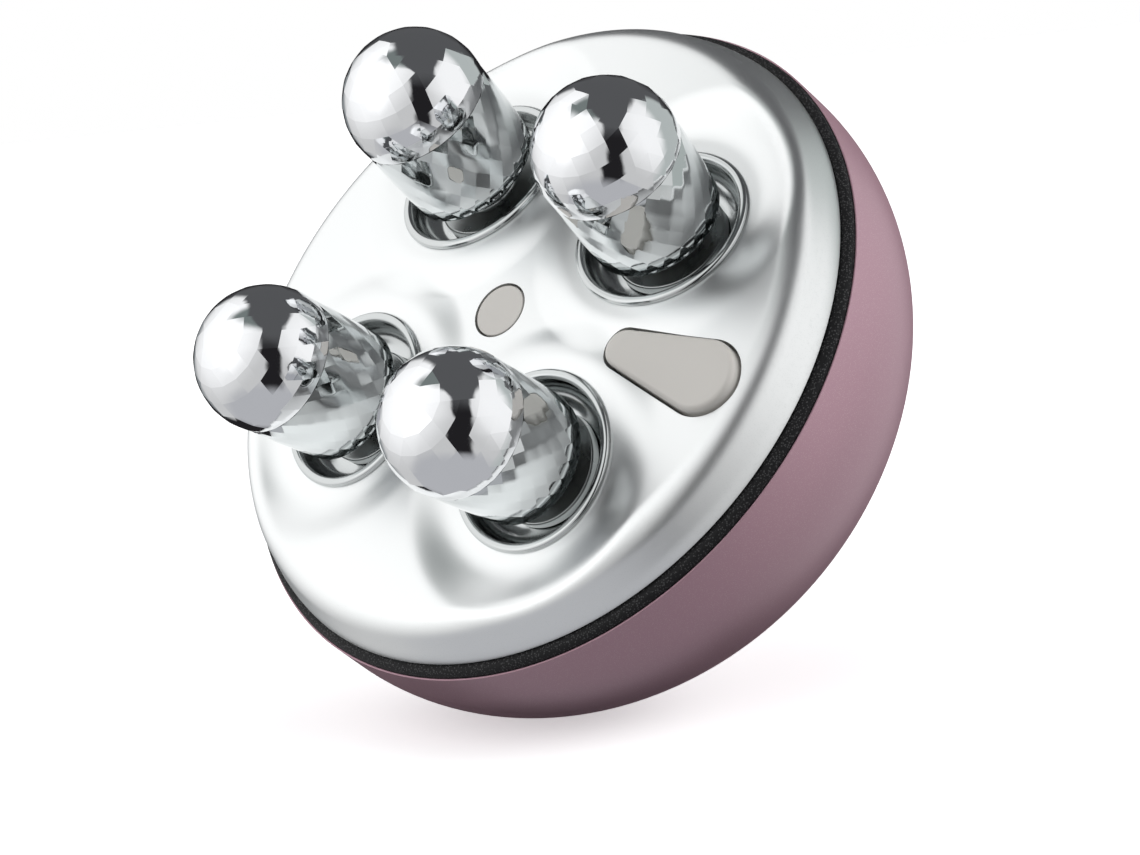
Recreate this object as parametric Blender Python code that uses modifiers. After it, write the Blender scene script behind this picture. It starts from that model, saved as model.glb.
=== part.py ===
"""Microcurrent face roller: a palm-sized domed body with four splayed, diamond-cut rollers.

Metres, +Z up. The origin is the middle of the small flat foot under the dome, and +X points
from the middle of the face plate to the power button. Every size is a named value below.
"""

import math

import bmesh
import bpy
from mathutils import Matrix, Vector

# Clearances
FIT = 0.0003
OVERRUN = 0.0010
WELD = 0.00001
SHARP_DEG = 40

# Domed casing, as wide as the face plate and its setback
PLATE_SETBACK = 0.0015
DOME_DEPTH = 0.0355
BELT_HEIGHT = 0.0040
FOOT_RADIUS = 0.0075
SHELL_WALL = 0.0022
RIM_CHAMFER = 0.0004
TURN_STEPS = 36
DOME_POINTS = 8
DOME_INNER_POINTS = 5

# Soft band between the casing and the face plate
BAND_HEIGHT = 0.0024
BAND_WIDTH = 0.0041
BAND_SETBACK = 0.0003

# Face plate, as wide as the four roller seats and the margin round them
PLATE_MARGIN = 0.0086
PLATE_RISE = 0.0072
PLATE_CROWN = 0.0016
PLATE_WALL = 0.0020
PLATE_POWER = 5.5
PLATE_POINTS = 8
PLATE_INNER_POINTS = 5
POST_INSET = 0.0087
POST_Y = 0.0140
POST_RADIUS = 0.0026
POST_ROOT = 0.0006
POST_PILOT_RADIUS = 0.0011
POST_PILOT_DEPTH = 0.0045

# Roller stations: the gaps between neighbouring cups, their height and the outward splay
CUP_GAP_X = 0.0108
CUP_GAP_Y = 0.0100
CUP_RIM_RISE = 0.0080
SPLAY_X_DEG = 3.6
SPLAY_Y_DEG = 9.1

# Roller cups and the soft swell and dish round them
CUP_RADIUS = 0.0107
CUP_WALL = 0.0006
CUP_LIP_WIDTH = 0.0007
CUP_LIP_HEIGHT = 0.0004
CUP_DEPTH = 0.0046
CUP_FLOOR = 0.0012
CUP_ROUND = 0.0030
CUP_ROUND_POINTS = 4
SEAT_WIDTH = 0.0006
SWELL_SHOULDER = 0.0003
SWELL_SPREAD = 0.0026
SWELL_FALL = 0.0018
DISH_CURVE_RADIUS = 0.0300
DISH_REACH = 0.0043
DISH_POINTS = 3
CUP_CUT_REACH = 0.0150
CUP_STEPS = 20

# Diamond-cut rollers, measured along their own axis from the cup rim
ROLLER_RADIUS = 0.0095
HEAD_HEIGHT = 0.0150
SEAM_HEIGHT = 0.0131
BASE_RADIUS = 0.0087
BASE_HEIGHT = 0.0009
BASE_CHAMFER = 0.0006
TAPER_POWER = 2.2
FACETS_ROUND = 24
FACET_ROWS = 7
CAP_ROWS = 7
CAP_CROWDING_SHARE = 1.05
CHAMBER_RADIUS = 0.0072
CHAMBER_DEPTH = 0.0012
CAP_SPIGOT_WALL = 0.0010
CAP_SPIGOT_LENGTH = 0.0008
CAP_ROOF_HEIGHT = 0.0045
CAP_ROOF_RADIUS = 0.0030
CAP_ROOF_FALL = 0.0015

# Axles, bushes and clips
AXLE_RADIUS = 0.0020
AXLE_ABOVE_CLIP = 0.0012
AXLE_BELOW_BOSS = 0.0003
AXLE_CHAMFER = 0.0003
BUSH_WALL = 0.0017
BUSH_FLANGE_WIDTH = 0.0012
BUSH_FLANGE = 0.0008
SLEEVE_GAP = 0.0021
CLIP_THICKNESS = 0.0007
CLIP_WIDTH = 0.0016
CLIP_MOUTH = 0.0020
GROOVE_DEPTH = 0.0005
ROUND_STEPS = 10

# Rubber seals in the cups
SEAL_RADIUS = 0.0076
SEAL_THICKNESS = 0.0014
SEAL_HUB_WALL = 0.0016

# Inner frame
FRAME_DROP = 0.0012
FRAME_THICKNESS = 0.0025
FRAME_HOLE_RADIUS = 0.0060
FRAME_NECK_SETBACK = 0.0007
SKIRT_LENGTH = 0.0050
SKIRT_WALL = 0.0016
BEAD_PROUD = 0.0006
BEAD_HEIGHT = 0.0012
BEAD_DROP = 0.0024
BOSS_RADIUS = 0.0040
BOSS_LENGTH = 0.0100

# Power button and what it presses
BUTTON_INSET = 0.0091
BUTTON_LENGTH = 0.0129
BUTTON_TIP_RADIUS = 0.0026
BUTTON_END_RADIUS = 0.0049
BUTTON_TILT_DEG = 4.5
BUTTON_PROUD = 0.0010
BUTTON_GAP = 0.0004
BUTTON_ROUND = 0.0006
ROUND_SEGMENTS = 2
ROUND_PROFILE_SHARE = 0.5
BUTTON_FLANGE_WIDTH = 0.0008
BUTTON_FLANGE = 0.0010
BUTTON_TRAVEL = 0.0005
COLLAR_WALL = 0.0012
OUTLINE_POINTS = 8
SWITCH_INSET = 0.0034
SWITCH_SIDE = 0.0052
SWITCH_HEIGHT = 0.0016
PLUNGER_RADIUS = 0.0012
PLUNGER_HEIGHT = 0.0011
PLUNGER_SHOWS = 0.0006
STRIP_WIDTH = 0.0080
STRIP_THICKNESS = 0.0010
STRIP_BACK = 0.0050
STRIP_MARGIN = 0.0016

# Indicator
LENS_RADIUS = 0.0036
LENS_STEPS = 20
LENS_GAP = 0.0003
LENS_FLANGE_WIDTH = 0.0012
LENS_FLANGE = 0.0008
LIGHT_PIPE_RADIUS = 0.0018
LED_SIDE = 0.0030
LED_HEIGHT = 0.0008

# Main board under the frame, a little wider than the circle of the rollers
BOARD_MARGIN = 0.0007
BOARD_THICKNESS = 0.0012
BOARD_POST_INSET = 0.0060
BOARD_POST_LENGTH = 0.0050
CHIP_SIDE = 0.0070
CHIP_HEIGHT = 0.0012
CHIP_Y = 0.0090
LEAF_WIDTH = 0.0024
LEAF_THICKNESS = 0.0003
LEAF_FOOT = 0.0030
LEAF_PAD = 0.0034

# Screws
SCREW_RADIUS = 0.0008
SCREW_LENGTH = 0.0060
SCREW_HEAD_RADIUS = 0.0019
SCREW_HEAD = 0.0012
SCREW_STEPS = 8

# Battery and its tray
TRAY_LENGTH = 0.0380
TRAY_WIDTH = 0.0260
TRAY_WALL = 0.0015
TRAY_FLOOR = 0.0020
TRAY_DEPTH = 0.0055
TRAY_HEIGHT = 0.0120
LUG_REACH = 0.0030
LUG_RADIUS = 0.0040
SHELL_BOSS_RADIUS = 0.0032
PEG_RADIUS = 0.0014
PEG_HEIGHT = 0.0030
CELL_HEIGHT = 0.0080
CELL_ROUND = 0.0010

# Charging contacts in the foot
CONTACT_X = 0.0036
CONTACT_RADIUS = 0.0014
CONTACT_RECESS = 0.0002
CONTACT_FLANGE_WIDTH = 0.0007
CONTACT_FLANGE = 0.0008

# Widths that follow from the sizes above
CUP_OUTER = CUP_RADIUS + CUP_WALL
LIP_OUTER = CUP_OUTER + CUP_LIP_WIDTH
SEAT_RADIUS = LIP_OUTER + SEAT_WIDTH
CUP_X = LIP_OUTER + CUP_GAP_X / 2
CUP_Y = LIP_OUTER + CUP_GAP_Y / 2
CUP_CIRCLE = math.hypot(CUP_X, CUP_Y)
PLATE_RADIUS = CUP_CIRCLE + SEAT_RADIUS + PLATE_MARGIN
DOME_RADIUS = PLATE_RADIUS + PLATE_SETBACK
POST_X = math.sqrt((PLATE_RADIUS - POST_INSET) ** 2 - POST_Y ** 2)
BUTTON_END_X = PLATE_RADIUS - BUTTON_INSET
BUTTON_TIP_X = BUTTON_END_X - BUTTON_LENGTH
SWITCH_X = BUTTON_END_X - SWITCH_INSET
STRIP_FRONT = BUTTON_END_X + STRIP_MARGIN
BOARD_RADIUS = CUP_CIRCLE + BOARD_MARGIN
BOARD_POST_X = BOARD_RADIUS - BOARD_POST_INSET
LUG_X = TRAY_LENGTH / 2 + LUG_REACH
BORE_RADIUS = AXLE_RADIUS + FIT
BUSH_RADIUS = BORE_RADIUS + BUSH_WALL
FLANGE_RADIUS = BUSH_RADIUS + BUSH_FLANGE_WIDTH
SPIGOT_OUTER = CHAMBER_RADIUS - FIT
SPIGOT_INNER = SPIGOT_OUTER - CAP_SPIGOT_WALL

# Heights that follow from the sizes above
BELT_Z = DOME_DEPTH * math.sqrt(1 - (FOOT_RADIUS / DOME_RADIUS) ** 2)
RIM_Z = BELT_Z + BELT_HEIGHT
FRAME_BEAD_TOP = RIM_Z - BEAD_DROP
BAND_Z = RIM_Z + FIT
EDGE_Z = BAND_Z + BAND_HEIGHT + FIT
FRAME_TOP = EDGE_Z - FRAME_DROP
FRAME_BOTTOM = FRAME_TOP - FRAME_THICKNESS
SEAT_U = -(CUP_LIP_HEIGHT + FIT)
BOARD_TOP = FRAME_BOTTOM - BOARD_POST_LENGTH - FIT
BOARD_BOTTOM = BOARD_TOP - BOARD_THICKNESS
STRIP_BOTTOM = FRAME_TOP + FIT
STRIP_TOP = STRIP_BOTTOM + STRIP_THICKNESS
SWITCH_BOTTOM = STRIP_TOP + FIT
SWITCH_TOP = SWITCH_BOTTOM + SWITCH_HEIGHT
PLUNGER_TOP = SWITCH_TOP + PLUNGER_SHOWS
PLUNGER_BOTTOM = PLUNGER_TOP - PLUNGER_HEIGHT
BUTTON_BOTTOM = PLUNGER_TOP + FIT
BUTTON_FLANGE_TOP = BUTTON_BOTTOM + BUTTON_FLANGE
COLLAR_BOTTOM = BUTTON_FLANGE_TOP + FIT
TRAY_BOTTOM = TRAY_HEIGHT + FIT

# Heights along a roller axis, upwards from the cup rim
CUP_FLOOR_U = -CUP_DEPTH
SEAL_BOTTOM_U = CUP_FLOOR_U + FIT
SEAL_TOP_U = SEAL_BOTTOM_U + SEAL_THICKNESS
LOWER_BUSH_U = BASE_HEIGHT - FIT
LOWER_RECESS_U = LOWER_BUSH_U + BUSH_FLANGE + FIT
CHAMBER_U = SEAM_HEIGHT - CHAMBER_DEPTH
UPPER_FLANGE_U = CHAMBER_U - BUSH_FLANGE
UPPER_RECESS_U = UPPER_FLANGE_U - FIT
CLIP_U = CHAMBER_U + FIT
CLIP_TOP_U = CLIP_U + CLIP_THICKNESS
AXLE_TOP_U = CLIP_TOP_U + FIT + AXLE_ABOVE_CLIP
BOSS_TOP_U = CUP_FLOOR_U
BOSS_BOTTOM_U = BOSS_TOP_U - BOSS_LENGTH
AXLE_BOTTOM_U = BOSS_BOTTOM_U - AXLE_BELOW_BOSS
CAP_BOTTOM_U = SEAM_HEIGHT + FIT
SLEEVE_LENGTH = (UPPER_RECESS_U - LOWER_RECESS_U - SLEEVE_GAP) / 2

# Red, green, blue, roughness and metallic of each finish
FINISH_SHARES = {
    "pink_satin_metal": (0.42, 0.20, 0.26, 0.35, 0.80),
    "black_soft_rubber": (0.02, 0.02, 0.02, 0.80, 0),
    "silver_satin_plating": (0.78, 0.80, 0.80, 0.22, 1),
    "bright_chrome": (0.82, 0.83, 0.84, 0.06, 1),
    "warm_grey_gloss": (0.52, 0.49, 0.45, 0.30, 0),
    "white_moulding": (0.70, 0.70, 0.68, 0.50, 0),
    "board_green": (0.03, 0.16, 0.08, 0.50, 0),
    "ground_steel": (0.55, 0.55, 0.56, 0.30, 1),
    "gold_plating": (0.80, 0.58, 0.22, 0.25, 1),
    "cell_foil": (0.35, 0.36, 0.38, 0.40, 0.40),
}

CORNERS = [(-1, 1), (1, 1), (-1, -1), (1, -1)]


def clear_scene():
    for thing in list(bpy.data.objects):
        bpy.data.objects.remove(thing, do_unlink=True)


def new_collection(name):
    group = bpy.data.collections.new(name)
    bpy.context.scene.collection.children.link(group)
    return group


def finish(name):
    red, green, blue, roughness, metallic = FINISH_SHARES[name]
    surface = bpy.data.materials.new(name)
    surface.use_nodes = True
    shader = surface.node_tree.nodes["Principled BSDF"]
    shader.inputs["Base Color"].default_value = (red, green, blue, 1)
    shader.inputs["Roughness"].default_value = roughness
    shader.inputs["Metallic"].default_value = metallic
    return surface


def mesh_object(name, mesh, surface=None, parent=None):
    """A part when it has a surface, and otherwise a cutter or an addition that stays hidden."""
    thing = bpy.data.objects.new(name, mesh)
    if surface is None:
        tools.objects.link(thing)
        thing.hide_render = True
        thing.display_type = 'WIRE'
    else:
        parts.objects.link(thing)
        if not mesh.materials:
            mesh.materials.append(surface)
    thing.parent = parent
    return thing


def mesh_from(bm, name):
    mesh = bpy.data.meshes.new(name)
    bm.to_mesh(mesh)
    bm.free()
    return mesh


def turned(name, profile, steps, surface=None, parent=None, ring=False):
    """Revolve (radius, height) points. They run down the outer side; a ring's profile closes."""
    points = [(radius, 0, height) for radius, height in profile]
    edges = [(i, i + 1) for i in range(len(points) - 1)]
    if ring:
        edges.append((len(points) - 1, 0))
    mesh = bpy.data.meshes.new(name)
    mesh.from_pydata(points, edges, [])
    thing = mesh_object(name, mesh, surface, parent)
    screw = thing.modifiers.new("Turn", 'SCREW')
    screw.steps = steps
    screw.render_steps = steps
    screw.use_merge_vertices = True
    screw.merge_threshold = WELD
    screw.use_smooth_shade = False
    return thing


def ring_profile(inner, outer, bottom, top):
    return [(inner, top), (outer, top), (outer, bottom), (inner, bottom)]


def disc_profile(radius, bottom, top):
    return [(0, top), (radius, top), (radius, bottom), (0, bottom)]


def cylinder(name, radius, bottom, top, spots, steps=ROUND_STEPS, surface=None):
    """Upright cylinders at the given (x, y) spots, as one mesh."""
    bm = bmesh.new()
    for x, y in spots:
        middle = Matrix.Translation((x, y, (bottom + top) / 2))
        bmesh.ops.create_cone(bm, cap_ends=True, segments=steps, radius1=radius, radius2=radius,
                              depth=top - bottom, matrix=middle)
    return mesh_object(name, mesh_from(bm, name), surface)


def box(name, size, middle, surface=None):
    bm = bmesh.new()
    place = Matrix.Translation(middle) @ Matrix.Diagonal((*size, 1))
    bmesh.ops.create_cube(bm, size=1, matrix=place)
    return mesh_object(name, mesh_from(bm, name), surface)


def slab(name, outline, bottom, top, surface=None):
    """A flat outline as a filled 2D curve with thickness, made a mesh so that it can be cut."""
    curve = bpy.data.curves.new(name + "_outline", 'CURVE')
    curve.dimensions = '2D'
    curve.fill_mode = 'BOTH'
    curve.extrude = (top - bottom) / 2
    spline = curve.splines.new('POLY')
    spline.points.add(len(outline) - 1)
    for point, (x, y) in zip(spline.points, outline):
        point.co = (x, y, 0, 1)
    spline.use_cyclic_u = True
    drawn = bpy.data.objects.new(name + "_outline", curve)
    tools.objects.link(drawn)
    bpy.context.view_layer.update()
    mesh = bpy.data.meshes.new_from_object(drawn.evaluated_get(bpy.context.evaluated_depsgraph_get()))
    bpy.data.objects.remove(drawn, do_unlink=True)
    bm = bmesh.new()
    bm.from_mesh(mesh)
    bmesh.ops.remove_doubles(bm, verts=bm.verts, dist=WELD)
    bmesh.ops.translate(bm, verts=bm.verts, vec=(0, 0, (bottom + top) / 2))
    bm.to_mesh(mesh)
    bm.free()
    return mesh_object(name, mesh, surface)


def boolean(target, other, operation):
    step = target.modifiers.new(other.name, 'BOOLEAN')
    step.operation = operation
    step.solver = 'EXACT'
    step.object = other


def cut(target, *cutters):
    for cutter in cutters:
        boolean(target, cutter, 'DIFFERENCE')


def join(target, *additions):
    for addition in additions:
        boolean(target, addition, 'UNION')


def gather(name, pieces):
    """Several turned cutters or additions as one mesh, so that a single Boolean takes them all."""
    bpy.context.view_layer.update()
    graph = bpy.context.evaluated_depsgraph_get()
    bm = bmesh.new()
    for piece in pieces:
        mesh = bpy.data.meshes.new_from_object(piece.evaluated_get(graph))
        mesh.transform(piece.matrix_world)
        bm.from_mesh(mesh)
        bpy.data.objects.remove(piece, do_unlink=True)
    return mesh_object(name, mesh_from(bm, name))


def round_each_axis(name, profile, steps, axes):
    """The same turned profile round every roller axis."""
    return [turned(name, profile, steps, parent=axis) for axis in axes]


def smooth_by_angle():
    """A geometry node group that shades a piece smooth except along edges sharper than SHARP_DEG."""
    group = bpy.data.node_groups.new("smooth_by_angle", 'GeometryNodeTree')
    group.interface.new_socket("Geometry", in_out='INPUT', socket_type='NodeSocketGeometry')
    group.interface.new_socket("Geometry", in_out='OUTPUT', socket_type='NodeSocketGeometry')
    start = group.nodes.new('NodeGroupInput')
    faces = group.nodes.new('GeometryNodeSetShadeSmooth')
    edges = group.nodes.new('GeometryNodeSetShadeSmooth')
    edges.domain = 'EDGE'
    angle = group.nodes.new('GeometryNodeInputMeshEdgeAngle')
    gentle = group.nodes.new('FunctionNodeCompare')
    gentle.operation = 'LESS_THAN'
    gentle.inputs["B"].default_value = math.radians(SHARP_DEG)
    end = group.nodes.new('NodeGroupOutput')
    group.links.new(start.outputs["Geometry"], faces.inputs["Geometry"])
    group.links.new(faces.outputs["Geometry"], edges.inputs["Geometry"])
    group.links.new(angle.outputs["Unsigned Angle"], gentle.inputs["A"])
    group.links.new(gentle.outputs["Result"], edges.inputs["Shade Smooth"])
    group.links.new(edges.outputs["Geometry"], end.inputs["Geometry"])
    return group


def roller_direction(side_x, side_y):
    lean_x = side_x * math.tan(math.radians(SPLAY_X_DEG))
    lean_y = side_y * math.tan(math.radians(SPLAY_Y_DEG))
    return Vector((lean_x, lean_y, 1)).normalized()


def roller_axis(number, side_x, side_y):
    """An empty in the middle of a cup rim, whose local Z is that roller's axis."""
    empty = bpy.data.objects.new("roller_axis_%d" % number, None)
    tools.objects.link(empty)
    empty.location = (side_x * CUP_X, side_y * CUP_Y, EDGE_Z + CUP_RIM_RISE)
    empty.rotation_mode = 'QUATERNION'
    upright = Vector((0, 0, 1))
    empty.rotation_quaternion = upright.rotation_difference(roller_direction(side_x, side_y))
    return empty


# The domed casing

def dome_curve(radius, depth, lowest, count):
    """Points down a quarter ellipse from the belt to the height called lowest."""
    last = math.asin(min(1, (BELT_Z - lowest) / depth))
    angles = [last * i / (count - 1) for i in range(count)]
    return [(radius * math.cos(angle), BELT_Z - depth * math.sin(angle)) for angle in angles]


def bottom_shell(surface):
    inner = DOME_RADIUS - SHELL_WALL
    groove = inner + BEAD_PROUD
    groove_top = FRAME_BEAD_TOP + FIT
    groove_bottom = FRAME_BEAD_TOP - BEAD_HEIGHT - FIT
    inside = dome_curve(inner, DOME_DEPTH - SHELL_WALL, SHELL_WALL, DOME_INNER_POINTS)
    outside = dome_curve(DOME_RADIUS, DOME_DEPTH, 0, DOME_POINTS)
    profile = [(0, SHELL_WALL)] + inside[::-1]
    profile += [(inner, groove_bottom), (groove, groove_bottom), (groove, groove_top), (inner, groove_top)]
    profile += [(inner, RIM_Z), (DOME_RADIUS - RIM_CHAMFER, RIM_Z), (DOME_RADIUS, RIM_Z - RIM_CHAMFER)]
    profile += outside + [(0, 0)]
    shell = turned("bottom_shell", profile, TURN_STEPS, surface)
    lugs = [(-LUG_X, 0), (LUG_X, 0)]
    share = (LUG_X + SHELL_BOSS_RADIUS) / inner
    floor_z = BELT_Z - (DOME_DEPTH - SHELL_WALL) * math.sqrt(1 - share ** 2)
    boss_bottom = floor_z - SHELL_WALL
    join(shell, cylinder("tray_bosses", SHELL_BOSS_RADIUS, boss_bottom, TRAY_HEIGHT, lugs))
    join(shell, cylinder("tray_pegs", PEG_RADIUS, TRAY_HEIGHT - OVERRUN, TRAY_HEIGHT + PEG_HEIGHT, lugs))
    holes = [(-CONTACT_X, 0), (CONTACT_X, 0)]
    cut(shell, cylinder("contact_holes", CONTACT_RADIUS + FIT, -OVERRUN, SHELL_WALL + OVERRUN, holes))


def charge_contact(number, x, surface):
    top = SHELL_WALL + FIT + CONTACT_FLANGE
    flange = CONTACT_RADIUS + CONTACT_FLANGE_WIDTH
    profile = [(0, top), (flange, top), (flange, SHELL_WALL + FIT), (CONTACT_RADIUS, SHELL_WALL + FIT)]
    profile += [(CONTACT_RADIUS, CONTACT_RECESS), (0, CONTACT_RECESS)]
    pin = turned("charge_contact_%d" % number, profile, ROUND_STEPS, surface)
    pin.location = (x, 0, 0)


def band_gasket(surface):
    outer = DOME_RADIUS - BAND_SETBACK
    profile = ring_profile(outer - BAND_WIDTH, outer, BAND_Z, BAND_Z + BAND_HEIGHT)
    turned("band_gasket", profile, TURN_STEPS, surface, ring=True)


# The face plate

def plate_curve(radius, rise, inner_edge, count):
    """Points down a flat-topped cap, from a hole of the given radius to the edge.

    The cap is a superellipse, and a low crown is added that is highest in the middle.
    """
    first = math.acos((inner_edge / radius) ** (PLATE_POWER / 2))
    angles = [first * (1 - i / (count - 1)) for i in range(count)]
    points = []
    for angle in angles:
        r = radius * math.cos(angle) ** (2 / PLATE_POWER)
        crown = PLATE_CROWN * (1 - (r / radius) ** 2)
        points.append((r, EDGE_Z + rise * math.sin(angle) ** (2 / PLATE_POWER) + crown))
    return points


def plate_height(x):
    """Height of the plate's outer surface at the distance x from its middle."""
    share = x / PLATE_RADIUS
    cap = PLATE_RISE * (1 - share ** PLATE_POWER) ** (1 / PLATE_POWER)
    return EDGE_Z + cap + PLATE_CROWN * (1 - share ** 2)


def swell_profile():
    """The raised seat round a cup: it slopes off outside the lip, and the dish cutter trims its top."""
    shoulder = SEAT_RADIUS + SWELL_SHOULDER
    spread = shoulder + SWELL_SPREAD
    top = SEAT_U + OVERRUN
    foot = SEAT_U - SWELL_FALL
    return [(0, top), (shoulder, top), (shoulder, SEAT_U), (spread, foot), (0, foot)]


def dish_profile():
    """The hole for a cup, the flat seat of its lip, and the shallow dish, an arc that climbs outwards."""
    middle = SEAT_U + math.sqrt(DISH_CURVE_RADIUS ** 2 - SEAT_RADIUS ** 2)
    reach = SEAT_RADIUS + DISH_REACH
    radii = [reach + (SEAT_RADIUS - reach) * i / (DISH_POINTS - 1) for i in range(DISH_POINTS)]
    arc = [(r, middle - math.sqrt(DISH_CURVE_RADIUS ** 2 - r ** 2)) for r in radii]
    hole = CUP_OUTER + FIT
    above = [(0, CUP_CUT_REACH), (reach, CUP_CUT_REACH)]
    below = [(hole, SEAT_U), (hole, -CUP_CUT_REACH), (0, -CUP_CUT_REACH)]
    return above + arc + below


def teardrop(extra=0):
    """A big and a small circle and their two tangents, all grown outwards by extra."""
    lean = math.asin((BUTTON_END_RADIUS - BUTTON_TIP_RADIUS) / (BUTTON_END_X - BUTTON_TIP_X))
    contact = math.pi / 2 + lean
    outline = []
    for i in range(OUTLINE_POINTS):
        angle = contact * (2 * i / (OUTLINE_POINTS - 1) - 1)
        reach = BUTTON_END_RADIUS + extra
        outline.append((BUTTON_END_X + reach * math.cos(angle), reach * math.sin(angle)))
    for i in range(OUTLINE_POINTS):
        angle = contact + 2 * (math.pi - contact) * i / (OUTLINE_POINTS - 1)
        reach = BUTTON_TIP_RADIUS + extra
        outline.append((BUTTON_TIP_X + reach * math.cos(angle), reach * math.sin(angle)))
    return outline


def face_plate(surface, axes):
    hole = LENS_RADIUS + LENS_GAP
    outside = plate_curve(PLATE_RADIUS, PLATE_RISE, hole, PLATE_POINTS)
    inside = plate_curve(PLATE_RADIUS - PLATE_WALL, PLATE_RISE - PLATE_WALL, hole, PLATE_INNER_POINTS)
    plate = turned("face_plate", outside + inside[::-1], TURN_STEPS, surface, ring=True)
    posts = [(x * POST_X, y * POST_Y) for x, y in CORNERS]
    post_bottom = FRAME_TOP + FIT
    inner_height = plate_height(math.hypot(POST_X, POST_Y) + POST_RADIUS) - PLATE_WALL
    join(plate, cylinder("plate_posts", POST_RADIUS, post_bottom, inner_height + POST_ROOT, posts))
    collar_top = plate_height(BUTTON_END_X) - PLATE_WALL / 2
    collar = BUTTON_GAP + COLLAR_WALL
    join(plate, slab("button_collar", teardrop(collar), COLLAR_BOTTOM - OVERRUN, collar_top))
    for swell in round_each_axis("cup_swell", swell_profile(), CUP_STEPS, axes):
        join(plate, swell)
    top = EDGE_Z + PLATE_RISE + PLATE_CROWN + OVERRUN
    opening = slab("button_hole", teardrop(BUTTON_GAP), COLLAR_BOTTOM - OVERRUN, top)
    join(opening, slab("flange_pocket", teardrop(collar + FIT), EDGE_Z, COLLAR_BOTTOM))
    cut(plate, opening)
    pilots = cylinder("post_pilots", POST_PILOT_RADIUS, post_bottom - OVERRUN,
                      post_bottom + POST_PILOT_DEPTH, posts, SCREW_STEPS)
    dishes = round_each_axis("cup_dish", dish_profile(), CUP_STEPS, axes)
    cut(plate, gather("cup_and_screw_holes", dishes + [pilots]))


def indicator_lens(surface):
    top = EDGE_Z + PLATE_RISE + PLATE_CROWN
    flange_top = top - PLATE_WALL - FIT
    flange_bottom = flange_top - LENS_FLANGE
    flange = LENS_RADIUS + LENS_FLANGE_WIDTH
    bottom = STRIP_TOP + FIT + LED_HEIGHT + FIT
    profile = [(0, top), (LENS_RADIUS, top), (LENS_RADIUS, flange_top), (flange, flange_top)]
    profile += [(flange, flange_bottom), (LIGHT_PIPE_RADIUS, flange_bottom), (LIGHT_PIPE_RADIUS, bottom)]
    turned("indicator_lens", profile + [(0, bottom)], LENS_STEPS, surface)


# The inner frame

def roller_frame(surface, axes):
    shell_bore = DOME_RADIUS - SHELL_WALL
    neck = DOME_RADIUS - BAND_SETBACK - BAND_WIDTH - FRAME_NECK_SETBACK
    skirt = shell_bore - FIT
    bead = skirt + BEAD_PROUD
    bead_bottom = FRAME_BEAD_TOP - BEAD_HEIGHT
    skirt_bottom = RIM_Z - SKIRT_LENGTH
    profile = [(FRAME_HOLE_RADIUS, FRAME_TOP), (neck, FRAME_TOP), (neck, RIM_Z), (skirt, RIM_Z)]
    profile += [(skirt, FRAME_BEAD_TOP), (bead, FRAME_BEAD_TOP), (bead, bead_bottom), (skirt, bead_bottom)]
    profile += [(skirt, skirt_bottom), (skirt - SKIRT_WALL, skirt_bottom)]
    profile += [(skirt - SKIRT_WALL, FRAME_BOTTOM), (FRAME_HOLE_RADIUS, FRAME_BOTTOM)]
    frame = turned("roller_frame", profile, TURN_STEPS, surface, ring=True)
    board_posts = [(-BOARD_POST_X, 0), (BOARD_POST_X, 0)]
    post_bottom = FRAME_BOTTOM - BOARD_POST_LENGTH
    join(frame, cylinder("board_posts", POST_RADIUS, post_bottom, FRAME_BOTTOM + OVERRUN, board_posts))
    boss = disc_profile(BOSS_RADIUS, BOSS_BOTTOM_U, BOSS_TOP_U)
    bore = disc_profile(BORE_RADIUS, BOSS_BOTTOM_U - OVERRUN, BOSS_TOP_U + OVERRUN)
    join(frame, gather("axle_bosses", round_each_axis("axle_boss", boss, ROUND_STEPS, axes)))
    posts = [(x * POST_X, y * POST_Y) for x, y in CORNERS]
    screw_holes = cylinder("frame_screw_holes", POST_PILOT_RADIUS, FRAME_BOTTOM - OVERRUN,
                           FRAME_TOP + OVERRUN, posts, SCREW_STEPS)
    pilots = cylinder("board_post_pilots", POST_PILOT_RADIUS, post_bottom - OVERRUN,
                      post_bottom + POST_PILOT_DEPTH, board_posts, SCREW_STEPS)
    bores = round_each_axis("axle_bore", bore, ROUND_STEPS, axes)
    cut(frame, gather("frame_holes", bores + [screw_holes, pilots]))


def screw(name, x, y, seat, surface):
    """A screw driven upwards, with its head under the height called seat."""
    head_top = seat - FIT
    head_bottom = head_top - SCREW_HEAD
    tip = head_top + SCREW_LENGTH
    profile = [(0, tip), (SCREW_RADIUS, tip), (SCREW_RADIUS, head_top), (SCREW_HEAD_RADIUS, head_top)]
    profile += [(SCREW_HEAD_RADIUS, head_bottom), (0, head_bottom)]
    driven = turned(name, profile, SCREW_STEPS, surface)
    driven.location = (x, y, 0)


# Roller stations

def roller_cup(number, axis, surface):
    """A lipped cup whose wall runs in a quarter round into its floor, with a hole for the boss."""
    bottom = CUP_FLOOR_U - CUP_FLOOR
    hole = BOSS_RADIUS + FIT
    profile = [(CUP_RADIUS, 0), (LIP_OUTER, 0), (LIP_OUTER, -CUP_LIP_HEIGHT), (CUP_OUTER, -CUP_LIP_HEIGHT)]
    profile += [(CUP_OUTER, bottom), (hole, bottom), (hole, CUP_FLOOR_U)]
    middle = CUP_RADIUS - CUP_ROUND
    for i in range(CUP_ROUND_POINTS):
        turn = math.pi / 2 * i / (CUP_ROUND_POINTS - 1)
        height = CUP_FLOOR_U + CUP_ROUND * (1 - math.cos(turn))
        profile.append((middle + CUP_ROUND * math.sin(turn), height))
    turned("roller_cup_%d" % number, profile, CUP_STEPS, surface, parent=axis, ring=True)


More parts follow.
